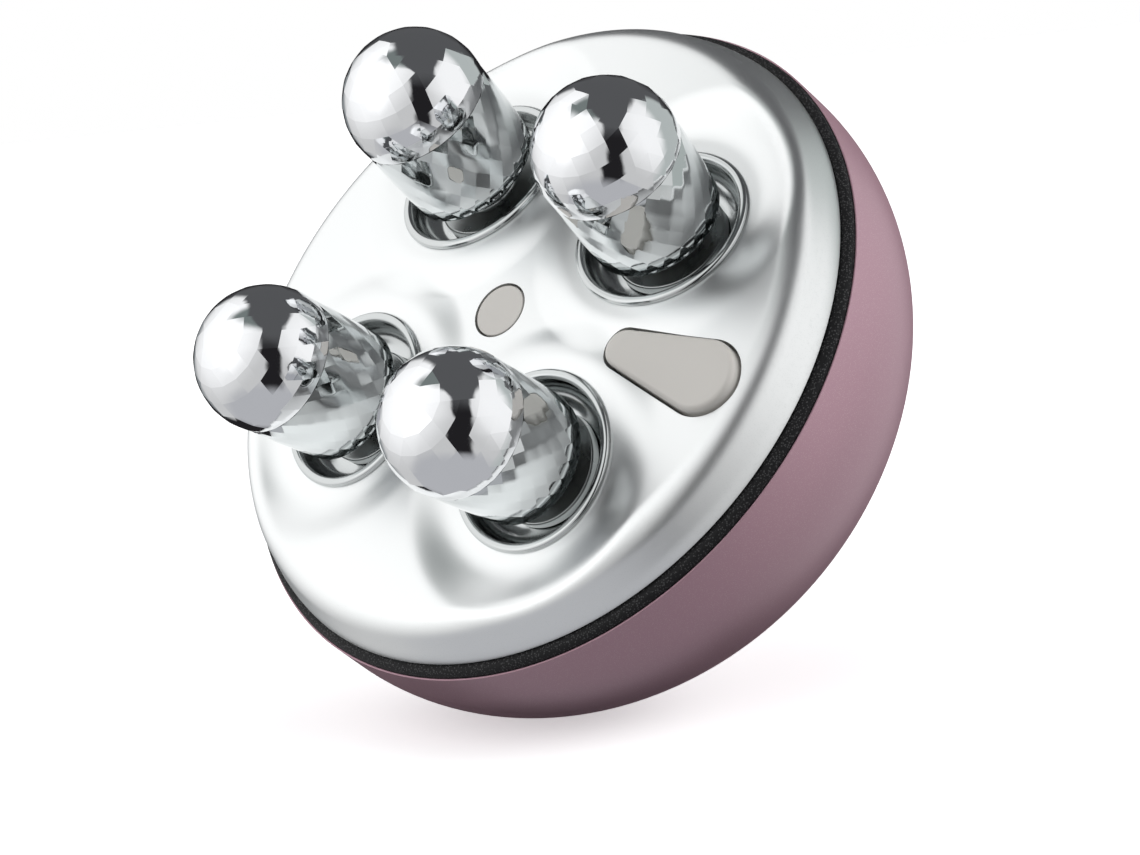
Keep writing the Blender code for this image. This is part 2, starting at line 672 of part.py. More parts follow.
def cup_seal(number, axis, surface):
    hub = BORE_RADIUS + SEAL_HUB_WALL
    hub_top = LOWER_BUSH_U - FIT
    profile = [(BORE_RADIUS, hub_top), (hub, hub_top), (hub, SEAL_TOP_U), (SEAL_RADIUS, SEAL_TOP_U)]
    profile += [(SEAL_RADIUS, SEAL_BOTTOM_U), (BORE_RADIUS, SEAL_BOTTOM_U)]
    turned("cup_seal_%d" % number, profile, CUP_STEPS, surface, parent=axis, ring=True)


def axle(number, axis, surface):
    groove = AXLE_RADIUS - GROOVE_DEPTH
    groove_top = CLIP_TOP_U + FIT
    groove_bottom = CLIP_U - FIT
    profile = [(0, AXLE_TOP_U), (AXLE_RADIUS - AXLE_CHAMFER, AXLE_TOP_U)]
    profile += [(AXLE_RADIUS, AXLE_TOP_U - AXLE_CHAMFER), (AXLE_RADIUS, groove_top)]
    profile += [(groove, groove_top), (groove, groove_bottom), (AXLE_RADIUS, groove_bottom)]
    profile += [(AXLE_RADIUS, AXLE_BOTTOM_U), (0, AXLE_BOTTOM_U)]
    turned("axle_%d" % number, profile, ROUND_STEPS, surface, parent=axis)


def retaining_clip(number, axis, surface):
    inner = AXLE_RADIUS - GROOVE_DEPTH + FIT
    outer = inner + CLIP_WIDTH
    clip = turned("retaining_clip_%d" % number, ring_profile(inner, outer, CLIP_U, CLIP_TOP_U),
                  ROUND_STEPS, surface, parent=axis, ring=True)
    mouth = box("clip_mouth_%d" % number, (2 * outer, CLIP_MOUTH, 2 * CLIP_THICKNESS),
                (outer, 0, (CLIP_U + CLIP_TOP_U) / 2))
    mouth.parent = axis
    cut(clip, mouth)


def lower_bush(number, axis, surface):
    flange_top = LOWER_BUSH_U + BUSH_FLANGE
    sleeve_top = LOWER_RECESS_U + SLEEVE_LENGTH
    profile = [(BORE_RADIUS, sleeve_top), (BUSH_RADIUS, sleeve_top), (BUSH_RADIUS, flange_top)]
    profile += [(FLANGE_RADIUS, flange_top), (FLANGE_RADIUS, LOWER_BUSH_U), (BORE_RADIUS, LOWER_BUSH_U)]
    turned("lower_bush_%d" % number, profile, ROUND_STEPS, surface, parent=axis, ring=True)


def upper_bush(number, axis, surface):
    flange_top = UPPER_FLANGE_U + BUSH_FLANGE - FIT
    sleeve_bottom = UPPER_RECESS_U - SLEEVE_LENGTH
    profile = [(BORE_RADIUS, flange_top), (FLANGE_RADIUS, flange_top), (FLANGE_RADIUS, UPPER_FLANGE_U)]
    profile += [(BUSH_RADIUS, UPPER_FLANGE_U), (BUSH_RADIUS, sleeve_bottom), (BORE_RADIUS, sleeve_bottom)]
    turned("upper_bush_%d" % number, profile, ROUND_STEPS, surface, parent=axis, ring=True)


def contact_leaf(number, axis, surface):
    """A bent strip that stands on the main board and presses up under the axle."""
    direction = axis.rotation_quaternion @ Vector((0, 0, 1))
    end = Vector(axis.location) + direction * AXLE_BOTTOM_U
    lowest = end.z - AXLE_RADIUS * math.sqrt(1 - direction.z ** 2)
    foot_z = BOARD_TOP + FIT + LEAF_THICKNESS / 2
    pad_z = lowest - FIT - LEAF_THICKNESS / 2
    reach = LEAF_PAD / 2
    path = [(reach + LEAF_FOOT, foot_z), (reach, foot_z), (reach, pad_z), (-reach, pad_z)]
    bm = bmesh.new()
    rows = [[bm.verts.new((x, y, z)) for x, z in path] for y in (-LEAF_WIDTH / 2, LEAF_WIDTH / 2)]
    for i in range(len(path) - 1):
        bm.faces.new((rows[0][i], rows[0][i + 1], rows[1][i + 1], rows[1][i]))
    leaf = mesh_object("contact_leaf_%d" % number, mesh_from(bm, "contact_leaf"), surface)
    leaf.location = (end.x, end.y, 0)
    leaf.rotation_euler = (0, 0, math.atan2(-end.y, -end.x))
    wall = leaf.modifiers.new("Thickness", 'SOLIDIFY')
    wall.thickness = LEAF_THICKNESS
    wall.offset = 0
    wall.use_even_offset = True


# The diamond-cut rollers: what takes the most skill here

def stack_rings(rings, name):
    """Loft a solid through rings of FACETS_ROUND points, from the lowest up.

    A ring is (radius, height, turn), and turn is in steps of one facet. Neighbouring rings
    are half a facet apart, so the wall between them is triangles, which meet as diamonds.
    """
    bm = bmesh.new()
    step = 2 * math.pi / FACETS_ROUND
    loops = []
    for radius, height, turn in rings:
        angles = [step * (i + turn) for i in range(FACETS_ROUND)]
        loops.append([bm.verts.new((radius * math.cos(a), radius * math.sin(a), height)) for a in angles])
    for j in range(len(rings) - 1):
        low = loops[j]
        high = loops[j + 1]
        change = rings[j + 1][2] - rings[j][2]
        for i in range(FACETS_ROUND):
            k = (i + 1) % FACETS_ROUND
            if change == 0:
                bm.faces.new((low[i], low[k], high[k], high[i]))
            elif change > 0:
                bm.faces.new((low[i], low[k], high[i]))
                bm.faces.new((low[k], high[k], high[i]))
            else:
                bm.faces.new((low[i], low[k], high[k]))
                bm.faces.new((low[i], high[k], high[i]))
    bm.faces.new(loops[0][::-1])
    bm.faces.new(loops[-1])
    return mesh_from(bm, name)


def seam_radius(height):
    return math.sqrt(ROLLER_RADIUS ** 2 - (HEAD_HEIGHT - height) ** 2)


def taper_radius(share):
    """The bullet outline of a roller's body: share is 0 at the seam and 1 at the base."""
    full = seam_radius(SEAM_HEIGHT)
    return full - (full - BASE_RADIUS) * share ** TAPER_POWER


def roller_body_mesh():
    rings = [(BASE_RADIUS - BASE_CHAMFER, BASE_HEIGHT, 0)]
    first = BASE_HEIGHT + BASE_CHAMFER
    pitch = (SEAM_HEIGHT - first) / FACET_ROWS
    for row in range(FACET_ROWS + 1):
        rings.append((taper_radius(1 - row / FACET_ROWS), first + pitch * row, (row % 2) / 2))
    return stack_rings(rings, "roller_body")


def roller_body(number, axis, mesh, surface):
    """The faceted body, bored through for its two bushes and opened at the top for the cap."""
    body = mesh_object("roller_body_%d" % number, mesh, surface, axis)
    recess = FLANGE_RADIUS + FIT
    bore = BUSH_RADIUS + FIT
    top = SEAM_HEIGHT + OVERRUN
    bottom = BASE_HEIGHT - OVERRUN
    profile = [(0, top), (CHAMBER_RADIUS, top), (CHAMBER_RADIUS, CHAMBER_U), (recess, CHAMBER_U)]
    profile += [(recess, UPPER_RECESS_U), (bore, UPPER_RECESS_U), (bore, LOWER_RECESS_U)]
    profile += [(recess, LOWER_RECESS_U), (recess, bottom), (0, bottom)]
    cut(body, turned("body_bore_%d" % number, profile, ROUND_STEPS, parent=axis))


def roller_cap_mesh():
    """The faceted head: the hull of staggered rings of points on a ball, thinning to its tip."""
    bm = bmesh.new()
    lowest = math.acos((CAP_BOTTOM_U - HEAD_HEIGHT) / ROLLER_RADIUS)
    for row in range(CAP_ROWS):
        polar = lowest * (1 - row / CAP_ROWS)
        radius = ROLLER_RADIUS * math.sin(polar)
        height = HEAD_HEIGHT + ROLLER_RADIUS * math.cos(polar)
        count = min(FACETS_ROUND, round(FACETS_ROUND * math.sin(polar) * CAP_CROWDING_SHARE))
        for i in range(count):
            angle = 2 * math.pi * (i + (row % 2) / 2) / count
            bm.verts.new((radius * math.cos(angle), radius * math.sin(angle), height))
    bm.verts.new((0, 0, HEAD_HEIGHT + ROLLER_RADIUS))
    bmesh.ops.convex_hull(bm, input=bm.verts)
    return mesh_from(bm, "roller_cap")


def roller_cap(number, axis, mesh, surface):
    cap = mesh_object("roller_cap_%d" % number, mesh, surface, axis)
    spigot_bottom = CAP_BOTTOM_U - CAP_SPIGOT_LENGTH
    roof = CAP_BOTTOM_U + CAP_ROOF_HEIGHT
    spigot = disc_profile(SPIGOT_OUTER, spigot_bottom, CAP_BOTTOM_U + OVERRUN)
    join(cap, turned("cap_spigot_%d" % number, spigot, ROUND_STEPS, parent=axis))
    hollow = [(0, roof), (CAP_ROOF_RADIUS, roof), (SPIGOT_INNER, roof - CAP_ROOF_FALL)]
    hollow += [(SPIGOT_INNER, spigot_bottom - OVERRUN), (0, spigot_bottom - OVERRUN)]
    cut(cap, turned("cap_hollow_%d" % number, hollow, ROUND_STEPS, parent=axis))


# The power button and its switch

def power_button(surface):
    """A teardrop whose top leans with the plate and stands a little proud of it."""
    middle_x = (BUTTON_TIP_X + BUTTON_END_X) / 2
    top = plate_height(middle_x) + BUTTON_PROUD
    slope = math.tan(math.radians(BUTTON_TILT_DEG))
    bm = bmesh.new()
    prism = slab("button_prism", teardrop(), BUTTON_BOTTOM + BUTTON_FLANGE / 2, top + BUTTON_LENGTH * slope)
    bm.from_mesh(prism.data)
    bpy.data.objects.remove(prism, do_unlink=True)
    everything = bm.verts[:] + bm.edges[:] + bm.faces[:]
    sliced = bmesh.ops.bisect_plane(bm, geom=everything, plane_co=(middle_x, 0, top),
                                    plane_no=(slope, 0, 1), clear_outer=True)
    rim = [e for e in sliced["geom_cut"] if isinstance(e, bmesh.types.BMEdge)]
    bmesh.ops.contextual_create(bm, geom=rim)
    rim = [e for e in bm.edges if all(is_on_top(v.co, middle_x, top, slope) for v in e.verts)]
    bmesh.ops.bevel(bm, geom=rim, offset=BUTTON_ROUND, segments=ROUND_SEGMENTS,
                    profile=ROUND_PROFILE_SHARE, affect='EDGES')
    button = mesh_object("power_button", mesh_from(bm, "power_button"), surface)
    join(button, slab("button_flange", teardrop(BUTTON_FLANGE_WIDTH), BUTTON_BOTTOM, BUTTON_FLANGE_TOP))


def is_on_top(point, middle_x, top, slope):
    return abs(point.z - (top - (point.x - middle_x) * slope)) < WELD


def tact_switch(surface):
    body = box("tact_switch", (SWITCH_SIDE, SWITCH_SIDE, SWITCH_HEIGHT),
               (SWITCH_X, 0, (SWITCH_BOTTOM + SWITCH_TOP) / 2), surface)
    well_bottom = PLUNGER_BOTTOM - BUTTON_TRAVEL - FIT
    cut(body, cylinder("plunger_well", PLUNGER_RADIUS + FIT, well_bottom, SWITCH_TOP + OVERRUN,
                       [(SWITCH_X, 0)], SCREW_STEPS))


def boards(board_green, chip_black, lamp_white):
    strip_middle = (STRIP_FRONT - STRIP_BACK) / 2
    box("strip_board", (STRIP_FRONT + STRIP_BACK, STRIP_WIDTH, STRIP_THICKNESS),
        (strip_middle, 0, (STRIP_BOTTOM + STRIP_TOP) / 2), board_green)
    led_z = STRIP_TOP + FIT + LED_HEIGHT / 2
    box("indicator_led", (LED_SIDE, LED_SIDE, LED_HEIGHT), (0, 0, led_z), lamp_white)
    holes = [(-BOARD_POST_X, 0), (BOARD_POST_X, 0)]
    disc = disc_profile(BOARD_RADIUS, BOARD_BOTTOM, BOARD_TOP)
    board = turned("main_board", disc, CUP_STEPS, board_green)
    cut(board, cylinder("board_holes", POST_PILOT_RADIUS, BOARD_BOTTOM - OVERRUN, BOARD_TOP + OVERRUN,
                        holes, SCREW_STEPS))
    chip_z = BOARD_TOP + FIT + CHIP_HEIGHT / 2
    box("control_chip", (CHIP_SIDE, CHIP_SIDE, CHIP_HEIGHT), (0, CHIP_Y, chip_z), chip_black)


# The battery

def battery_tray(surface):
    top = TRAY_BOTTOM + TRAY_FLOOR + TRAY_DEPTH
    tray = box("battery_tray", (TRAY_LENGTH, TRAY_WIDTH, top - TRAY_BOTTOM),
               (0, 0, (TRAY_BOTTOM + top) / 2), surface)
    lugs = [(-LUG_X, 0), (LUG_X, 0)]
    join(tray, cylinder("tray_lugs", LUG_RADIUS, TRAY_BOTTOM, TRAY_BOTTOM + TRAY_FLOOR, lugs))
    pocket = (TRAY_LENGTH - 2 * TRAY_WALL, TRAY_WIDTH - 2 * TRAY_WALL, 2 * TRAY_DEPTH)
    cut(tray, box("tray_pocket", pocket, (0, 0, top)))
    cut(tray, cylinder("peg_holes", PEG_RADIUS + FIT, TRAY_BOTTOM - OVERRUN, top + OVERRUN, lugs))


def battery_cell(surface):
    length = TRAY_LENGTH - 2 * TRAY_WALL - 2 * FIT
    width = TRAY_WIDTH - 2 * TRAY_WALL - 2 * FIT
    bottom = TRAY_BOTTOM + TRAY_FLOOR + FIT
    cell = box("battery_cell", (length, width, CELL_HEIGHT), (0, 0, bottom + CELL_HEIGHT / 2), surface)
    rounding = cell.modifiers.new("Rounded edges", 'BEVEL')
    rounding.width = CELL_ROUND
    rounding.segments = ROUND_SEGMENTS


clear_scene()
parts = new_collection("microcurrent_face_roller")
tools = new_collection("cutters")

pink_satin = finish("pink_satin_metal")
black_rubber = finish("black_soft_rubber")
silver_satin = finish("silver_satin_plating")
chrome = finish("bright_chrome")
warm_grey = finish("warm_grey_gloss")
white_plastic = finish("white_moulding")
board_green = finish("board_green")
steel = finish("ground_steel")
gold = finish("gold_plating")
cell_foil = finish("cell_foil")

station_axes = [roller_axis(number, x, y) for number, (x, y) in enumerate(CORNERS, 1)]
bpy.context.view_layer.update()

bottom_shell(pink_satin)
charge_contact(1, -CONTACT_X, gold)
charge_contact(2, CONTACT_X, gold)
band_gasket(black_rubber)
face_plate(silver_satin, station_axes)
roller_frame(white_plastic, station_axes)
indicator_lens(warm_grey)
power_button(warm_grey)
tact_switch(black_rubber)
cylinder("switch_plunger", PLUNGER_RADIUS, PLUNGER_BOTTOM, PLUNGER_TOP, [(SWITCH_X, 0)],
         SCREW_STEPS, white_plastic)
boards(board_green, black_rubber, white_plastic)
battery_tray(white_plastic)
battery_cell(cell_foil)
for number, (x, y) in enumerate(CORNERS, 1):
    screw("plate_screw_%d" % number, x * POST_X, y * POST_Y, FRAME_BOTTOM, steel)
screw("board_screw_1", -BOARD_POST_X, 0, BOARD_BOTTOM, steel)
screw("board_screw_2", BOARD_POST_X, 0, BOARD_BOTTOM, steel)

body_mesh = roller_body_mesh()
cap_mesh = roller_cap_mesh()
for number, axis in enumerate(station_axes, 1):
    roller_cup(number, axis, chrome)
    cup_seal(number, axis, black_rubber)
    axle(number, axis, steel)
    lower_bush(number, axis, white_plastic)
    upper_bush(number, axis, white_plastic)
    retaining_clip(number, axis, steel)
    roller_body(number, axis, body_mesh, chrome)
    roller_cap(number, axis, cap_mesh, chrome)
    contact_leaf(number, axis, gold)

shading = smooth_by_angle()
for thing in parts.objects:
    if thing.data not in (body_mesh, cap_mesh):
        thing.modifiers.new("Smooth by angle", 'NODES').node_group = shading
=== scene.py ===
# %% [markdown]
# # Dressing a microcurrent face roller
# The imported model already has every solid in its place. This lesson gives the ones that are seen
# finer surfaces and every one a finish, and then sets up the light and the camera. All lengths are
# in metres, Z points up out of the face plate, and the origin is under the dome.

import math

import bmesh
import bpy
import numpy as np
from mathutils import Matrix, Vector


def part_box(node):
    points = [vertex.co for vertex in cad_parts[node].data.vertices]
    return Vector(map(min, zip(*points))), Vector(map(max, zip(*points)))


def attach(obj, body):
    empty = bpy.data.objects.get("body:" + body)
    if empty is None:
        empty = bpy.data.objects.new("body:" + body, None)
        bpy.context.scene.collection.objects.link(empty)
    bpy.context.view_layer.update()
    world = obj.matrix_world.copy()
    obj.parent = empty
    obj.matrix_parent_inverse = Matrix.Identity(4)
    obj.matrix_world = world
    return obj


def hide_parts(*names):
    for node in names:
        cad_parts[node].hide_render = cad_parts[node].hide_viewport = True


MM_PER_METRE = 1000
PRINTED_DIGITS = 2


def in_mm(lengths):
    """Lengths in metres as rounded millimetres, for the prints."""
    return [round(MM_PER_METRE * length, PRINTED_DIGITS) for length in lengths]


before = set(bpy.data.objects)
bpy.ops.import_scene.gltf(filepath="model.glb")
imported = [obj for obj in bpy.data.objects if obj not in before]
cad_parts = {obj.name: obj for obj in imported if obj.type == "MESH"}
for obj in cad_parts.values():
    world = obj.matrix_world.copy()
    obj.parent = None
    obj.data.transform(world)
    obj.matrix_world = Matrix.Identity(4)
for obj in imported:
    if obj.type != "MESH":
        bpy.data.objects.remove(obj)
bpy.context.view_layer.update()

# %% [markdown]
# ## Sizes that the surfaces share
# A finer surface has to sit exactly where its solid sits, so the sizes of the solids come first.
# They could be measured from the mesh, but written out they can be read and reasoned about.

# %% Sizes of the body
FIT = 0.0003
SHELL_WALL = 0.0022
DOME_DEPTH = 0.0355
FOOT_RADIUS = 0.0075
BELT_HEIGHT = 0.0040
RIM_ROUND = 0.0004
BAND_HEIGHT = 0.0024
BAND_WIDTH = 0.0041
BAND_SETBACK = 0.0003
PLATE_MARGIN = 0.0086
PLATE_SETBACK = 0.0015
PLATE_RISE = 0.0072
PLATE_CROWN = 0.0016
PLATE_WALL = 0.0020
PLATE_POWER = 5.5
CUP_X = 0.0174
CUP_Y = 0.0170
CUP_RIM_RISE = 0.0080
SEAT_RADIUS = 0.0126
PLATE_RADIUS = math.hypot(CUP_X, CUP_Y) + SEAT_RADIUS + PLATE_MARGIN
DOME_RADIUS = PLATE_RADIUS + PLATE_SETBACK
BELT_Z = DOME_DEPTH * math.sqrt(1 - (FOOT_RADIUS / DOME_RADIUS) ** 2)
RIM_Z = BELT_Z + BELT_HEIGHT
BAND_Z = RIM_Z + FIT
EDGE_Z = BAND_Z + BAND_HEIGHT + FIT
CUP_RIM_Z = EDGE_Z + CUP_RIM_RISE
print("height and radius of the plate's edge in mm:", in_mm((EDGE_Z, PLATE_RADIUS)))

# %% Sizes of the cups and rollers, with heights along a roller's axis from the rim of its cup
CUP_RADIUS = 0.0107
CUP_OUTER = 0.0113
LIP_OUTER = 0.0120
LIP_HEIGHT = 0.0004
CUP_DEPTH = 0.0046
CUP_FLOOR = 0.0012
CUP_ROUND = 0.0030
SEAL_RADIUS = 0.0076
SEAT_U = -(LIP_HEIGHT + FIT)
BOSS_HOLE = 0.0043
ROLLER_RADIUS = 0.0095
HEAD_HEIGHT = 0.0150
SEAM_HEIGHT = 0.0131
BASE_RADIUS = 0.0089
BASE_HEIGHT = 0.0009
BASE_CHAMFER = 0.0006
TAPER_POWER = 2.2
FACETS_ROUND = 24
FACET_ROWS = 7
CAP_ROWS = 7
AXLE_BORE = 0.0023

# %% [markdown]
# ## From arrays to meshes
# Each surface is a grid of points worked out with numpy: a profile of rows, and columns that go
# round. Wrapped rows and columns make closed bodies such as rings. A row that shrinks to the axis
# leaves many points in one place, so doubles are merged, and then the normals are recalculated.

# %% Helpers that turn grids of points into closed meshes
MERGE = 1e-7
SHARP_DEG = 35
SOFT_SHARP_DEG = 50


def shade(mesh, sharp_deg=SHARP_DEG):
    """Smooth faces, with an edge left sharp where the faces meet at more than sharp_deg."""
    mesh.shade_smooth()
    mesh.set_sharp_from_angle(angle=math.radians(sharp_deg))


def mesh_piece(name, points, faces, sharp_deg=SHARP_DEG):
    """Points (n, 3) and lists of corners become a merged, outward-facing object."""
    mesh = bpy.data.meshes.new(name)
    mesh.from_pydata(np.asarray(points).reshape(-1, 3).tolist(), [], faces)
    bm = bmesh.new()
    bm.from_mesh(mesh)
    bmesh.ops.remove_doubles(bm, verts=bm.verts, dist=MERGE)
    bmesh.ops.recalc_face_normals(bm, faces=bm.faces)
    open_edges = sum(1 for edge in bm.edges if not edge.is_manifold)
    if bm.calc_volume(signed=True) < 0:
        bmesh.ops.reverse_faces(bm, faces=bm.faces)
    bm.to_mesh(mesh)
    bm.free()
    shade(mesh, sharp_deg)
    made = bpy.data.objects.new(name, mesh)
    bpy.context.scene.collection.objects.link(made)
    print(name, "faces", len(mesh.polygons), "open edges", open_edges)
    return made


def grid_faces(rows, columns, close_rows=False):
    """Quads between neighbouring rows of a grid whose columns go all the way round."""
    lower = np.arange(rows if close_rows else rows - 1)[:, None] * columns
    upper = (lower + columns) % (rows * columns)
    left = np.arange(columns)[None, :]
    right = (left + 1) % columns
    corners = [lower + left, lower + right, upper + right, upper + left]
    return np.stack(corners, -1).reshape(-1, 4).tolist()


def turned(profile, steps):
    """A profile of (radius, height) rows turned round Z: x = r cos a, y = r sin a."""
    profile = np.asarray(profile, float)
    angle = 2 * np.pi * np.arange(steps) / steps
    x = profile[:, :1] * np.cos(angle)
    y = profile[:, :1] * np.sin(angle)
    z = np.repeat(profile[:, 1:], steps, 1)
    return np.stack([x, y, z], -1)


def moved(points, place):
    """Points turned and shifted by a matrix: p' = R p + t."""
    matrix = np.array(place)
    return points @ matrix[:3, :3].T + matrix[:3, 3]


def turned_piece(name, profile, steps, place=None, close_rows=False, sharp_deg=SHARP_DEG):
    """A turned surface as a piece, moved by a 4 by 4 matrix where one is given."""
    points = turned(profile, steps)
    if place is not None:
        points = moved(points, place)
    return mesh_piece(name, points, grid_faces(len(profile), steps, close_rows), sharp_deg)


# %% [markdown]
# ## Rounded profiles
# Nothing that is moulded or pressed has a knife edge, and it is the small round along an edge
# that catches the light. A bevel modifier could add it, but a profile with its corners already
# filleted stays clean, because the arcs lie in the plane in which it is drawn.

# %% A polyline whose corners are filleted
FILLET_POINTS = 6


def filleted(corners, radii, arc_points=FILLET_POINTS, closed=False):
    """Each corner becomes an arc that touches both of its sides, radius / tan(half) away from it."""
    points = []
    count = len(corners)
    for i, (corner, radius) in enumerate(zip(corners, radii)):
        corner = np.array(corner, float)
        if radius == 0 or (not closed and i in (0, count - 1)):
            points.append(corner)
            continue
        before = np.array(corners[i - 1], float) - corner
        after = np.array(corners[(i + 1) % count], float) - corner
        before /= np.linalg.norm(before)
        after /= np.linalg.norm(after)
        half = math.acos(np.clip(before @ after, -1, 1)) / 2
        middle = corner + (before + after) / np.linalg.norm(before + after) * radius / math.sin(half)
        first = corner + before * radius / math.tan(half) - middle
        last = corner + after * radius / math.tan(half) - middle
        for share in np.linspace(0, 1, arc_points):
            arm = first * (1 - share) + last * share
            points.append(middle + arm / np.linalg.norm(arm) * radius)
    return np.array(points)


def spread_evenly(curve, count):
    """The same curve with its points evenly spaced along its length."""
    steps = np.linalg.norm(np.diff(curve, axis=0), axis=1)
    along = np.concatenate([[0], np.cumsum(steps)])
    wanted = np.linspace(0, along[-1], count)
    return np.stack([np.interp(wanted, along, curve[:, k]) for k in range(curve.shape[1])], -1)


# %% [markdown]
# ## Cutting one surface with another
# The holes in the casing and the plate are real openings. A Boolean modifier cuts them, and it is
# applied at once, so that the finished piece is a plain mesh. The manifold solver is quick on
# dense closed meshes such as these.

# %% Cut or join, and apply at once
ROD_STEPS = 64
OVERLAP = 0.0010


def combine(target, other, operation):
    """Carries out a Boolean between two closed pieces and removes the second one."""
    step = target.modifiers.new("Combine", 'BOOLEAN')
    step.operation = operation
    step.solver = 'MANIFOLD'
    step.object = other
    graph = bpy.context.evaluated_depsgraph_get()
    result = bpy.data.meshes.new_from_object(target.evaluated_get(graph))
    target.modifiers.clear()
    target.data = result
    bpy.data.objects.remove(other, do_unlink=True)


def rod(radius, bottom, top, x=0, y=0, steps=ROD_STEPS, place=None):
    """A closed cylinder, as a cutter or an addition."""
    where = Matrix.Translation((x, y, 0)) if place is None else place
    return turned_piece("rod", [(0, bottom), (radius, bottom), (radius, top), (0, top)], steps, where)


# %% [markdown]
# ## Helpers for node trees
# The finishes, the room and the table all blend colours, combine numbers and map ranges. One class
# holds these steps, so that each tree of nodes reads like a short recipe.

# %% One kit for every node tree
FIRST_COLOUR = 6
SECOND_COLOUR = 7
MIXED_COLOUR = 2


class NodeKit:
    """Adds nodes to one tree. A value is a socket, a number, or the three numbers of a colour."""

    def __init__(self, tree):
        self.nodes = tree.nodes
        self.link = tree.links.new

    def feed(self, socket, value):
        """Links a socket to a value's own socket, or sets it where the value stays constant."""
        if isinstance(value, bpy.types.NodeSocket):
            self.link(value, socket)
        elif isinstance(value, (tuple, list)):
            socket.default_value = (*value, 1)
        else:
            socket.default_value = value

    def calculate(self, operation, first, second):
        """One Math node between two values."""
        node = self.nodes.new('ShaderNodeMath')
        node.operation = operation
        self.feed(node.inputs[0], first)
        self.feed(node.inputs[1], second)
        return node.outputs[0]

    def mix(self, share, first, second):
        """Blends two colours by a share from 0 to 1."""
        node = self.nodes.new('ShaderNodeMix')
        node.data_type = 'RGBA'
        self.link(share, node.inputs[0])
        self.feed(node.inputs[FIRST_COLOUR], first)
        self.feed(node.inputs[SECOND_COLOUR], second)
        return node.outputs[MIXED_COLOUR]

    def between(self, value, start, end, low=0.0, high=1.0, way='LINEAR'):
        """Maps a value's range from start to end onto low to high."""
        node = self.nodes.new('ShaderNodeMapRange')
        node.interpolation_type = way
        self.link(value, node.inputs["Value"])
        for label, number in (("From Min", start), ("From Max", end), ("To Min", low), ("To Max", high)):
            node.inputs[label].default_value = number
        return node.outputs["Result"]


# %% [markdown]
# ## Grain that several finishes share
# Paint, rubber, plating and mouldings all have a fine structure that breaks up their reflections.
# One node group holds it: noise at a chosen size, and small dots. It is placed in each material
# with its own values, and it reads Object coordinates, so the pattern is fixed to the part.

# %% The shared node group
CLOUD_DETAIL = 3
GRAIN_DETAIL = 2


def grain_group():
    """Puts out a soft cloudy value, a fine grain and a mask of sparse dots, all from 0 to 1."""
    group = bpy.data.node_groups.new("fine_grain", 'ShaderNodeTree')
    sockets = group.interface
    for label in ("Cloud Scale", "Grain Scale", "Dot Scale", "Dot Size"):
        sockets.new_socket(label, in_out='INPUT', socket_type='NodeSocketFloat')
    for label in ("Cloud", "Grain", "Dots"):
        sockets.new_socket(label, in_out='OUTPUT', socket_type='NodeSocketFloat')
    kit = NodeKit(group)
    start = kit.nodes.new('NodeGroupInput')
    end = kit.nodes.new('NodeGroupOutput')
    place = kit.nodes.new('ShaderNodeTexCoord')
    for label, detail in (("Cloud", CLOUD_DETAIL), ("Grain", GRAIN_DETAIL)):
        noise = kit.nodes.new('ShaderNodeTexNoise')
        noise.inputs["Detail"].default_value = detail
        kit.link(place.outputs["Object"], noise.inputs["Vector"])
        kit.link(start.outputs[label + " Scale"], noise.inputs["Scale"])
        kit.link(noise.outputs["Fac"], end.inputs[label])
    dots = kit.nodes.new('ShaderNodeTexVoronoi')
    kit.link(place.outputs["Object"], dots.inputs["Vector"])
    kit.link(start.outputs["Dot Scale"], dots.inputs["Scale"])
    inside = kit.calculate('LESS_THAN', dots.outputs["Distance"], start.outputs["Dot Size"])
    kit.link(inside, end.inputs["Dots"])
    return group


FINE_GRAIN = grain_group()
print("node group", FINE_GRAIN.name, "with", len(FINE_GRAIN.nodes), "nodes")

# %% A material from one row of values
CLOUD_LOW = 0.3
CLOUD_HIGH = 0.7


class Finish(NodeKit):
    """A Principled shader whose colour, roughness and bump follow the shared grain."""

    def __init__(self, name, colour, roughness, metallic, cloud=60, grain=4000, dots=2500, dot_size=0.0,
                 tint=0.06, dot_colour=None, rough_swing=0.05, bump=0.000004, specular=0.5):
        self.material = bpy.data.materials.new(name)
        self.material.use_nodes = True
        super().__init__(self.material.node_tree)
        self.shader = self.nodes["Principled BSDF"]
        self.shader.inputs["Metallic"].default_value = metallic
        self.shader.inputs["Specular IOR Level"].default_value = specular
        self.fine = self.nodes.new('ShaderNodeGroup')
        self.fine.node_tree = FINE_GRAIN
        for label, value in (("Cloud Scale", cloud), ("Grain Scale", grain),
                             ("Dot Scale", dots), ("Dot Size", dot_size)):
            self.fine.inputs[label].default_value = value
        clouds = self.fine.outputs["Cloud"]
        darker = [c * (1 - tint) for c in colour]
        lighter = [min(1, c * (1 + tint)) for c in colour]
        base = self.mix(clouds, darker, lighter)
        base = self.mix(self.fine.outputs["Dots"], base, dot_colour or colour)
        self.link(base, self.shader.inputs["Base Color"])
        low, high = roughness - rough_swing, roughness + rough_swing
        self.rough = self.between(clouds, CLOUD_LOW, CLOUD_HIGH, low, high)
        self.link(self.rough, self.shader.inputs["Roughness"])
        relief = self.nodes.new('ShaderNodeBump')
        relief.inputs["Distance"].default_value = bump
        self.link(self.fine.outputs["Grain"], relief.inputs["Height"])
        self.link(relief.outputs["Normal"], self.shader.inputs["Normal"])


# %% [markdown]
# ## The finishes
# The casing is a pink satin paint with fine metal flake. The band is a dark, speckled soft rubber.
# The plate is satin plating. The heads are bright chrome and the bodies below them a greyer one,
# both with faint clouding from handling. The cups are polished metal and their seals a satin grey.
# The button and the lens are a warm grey plastic with a soft gloss.

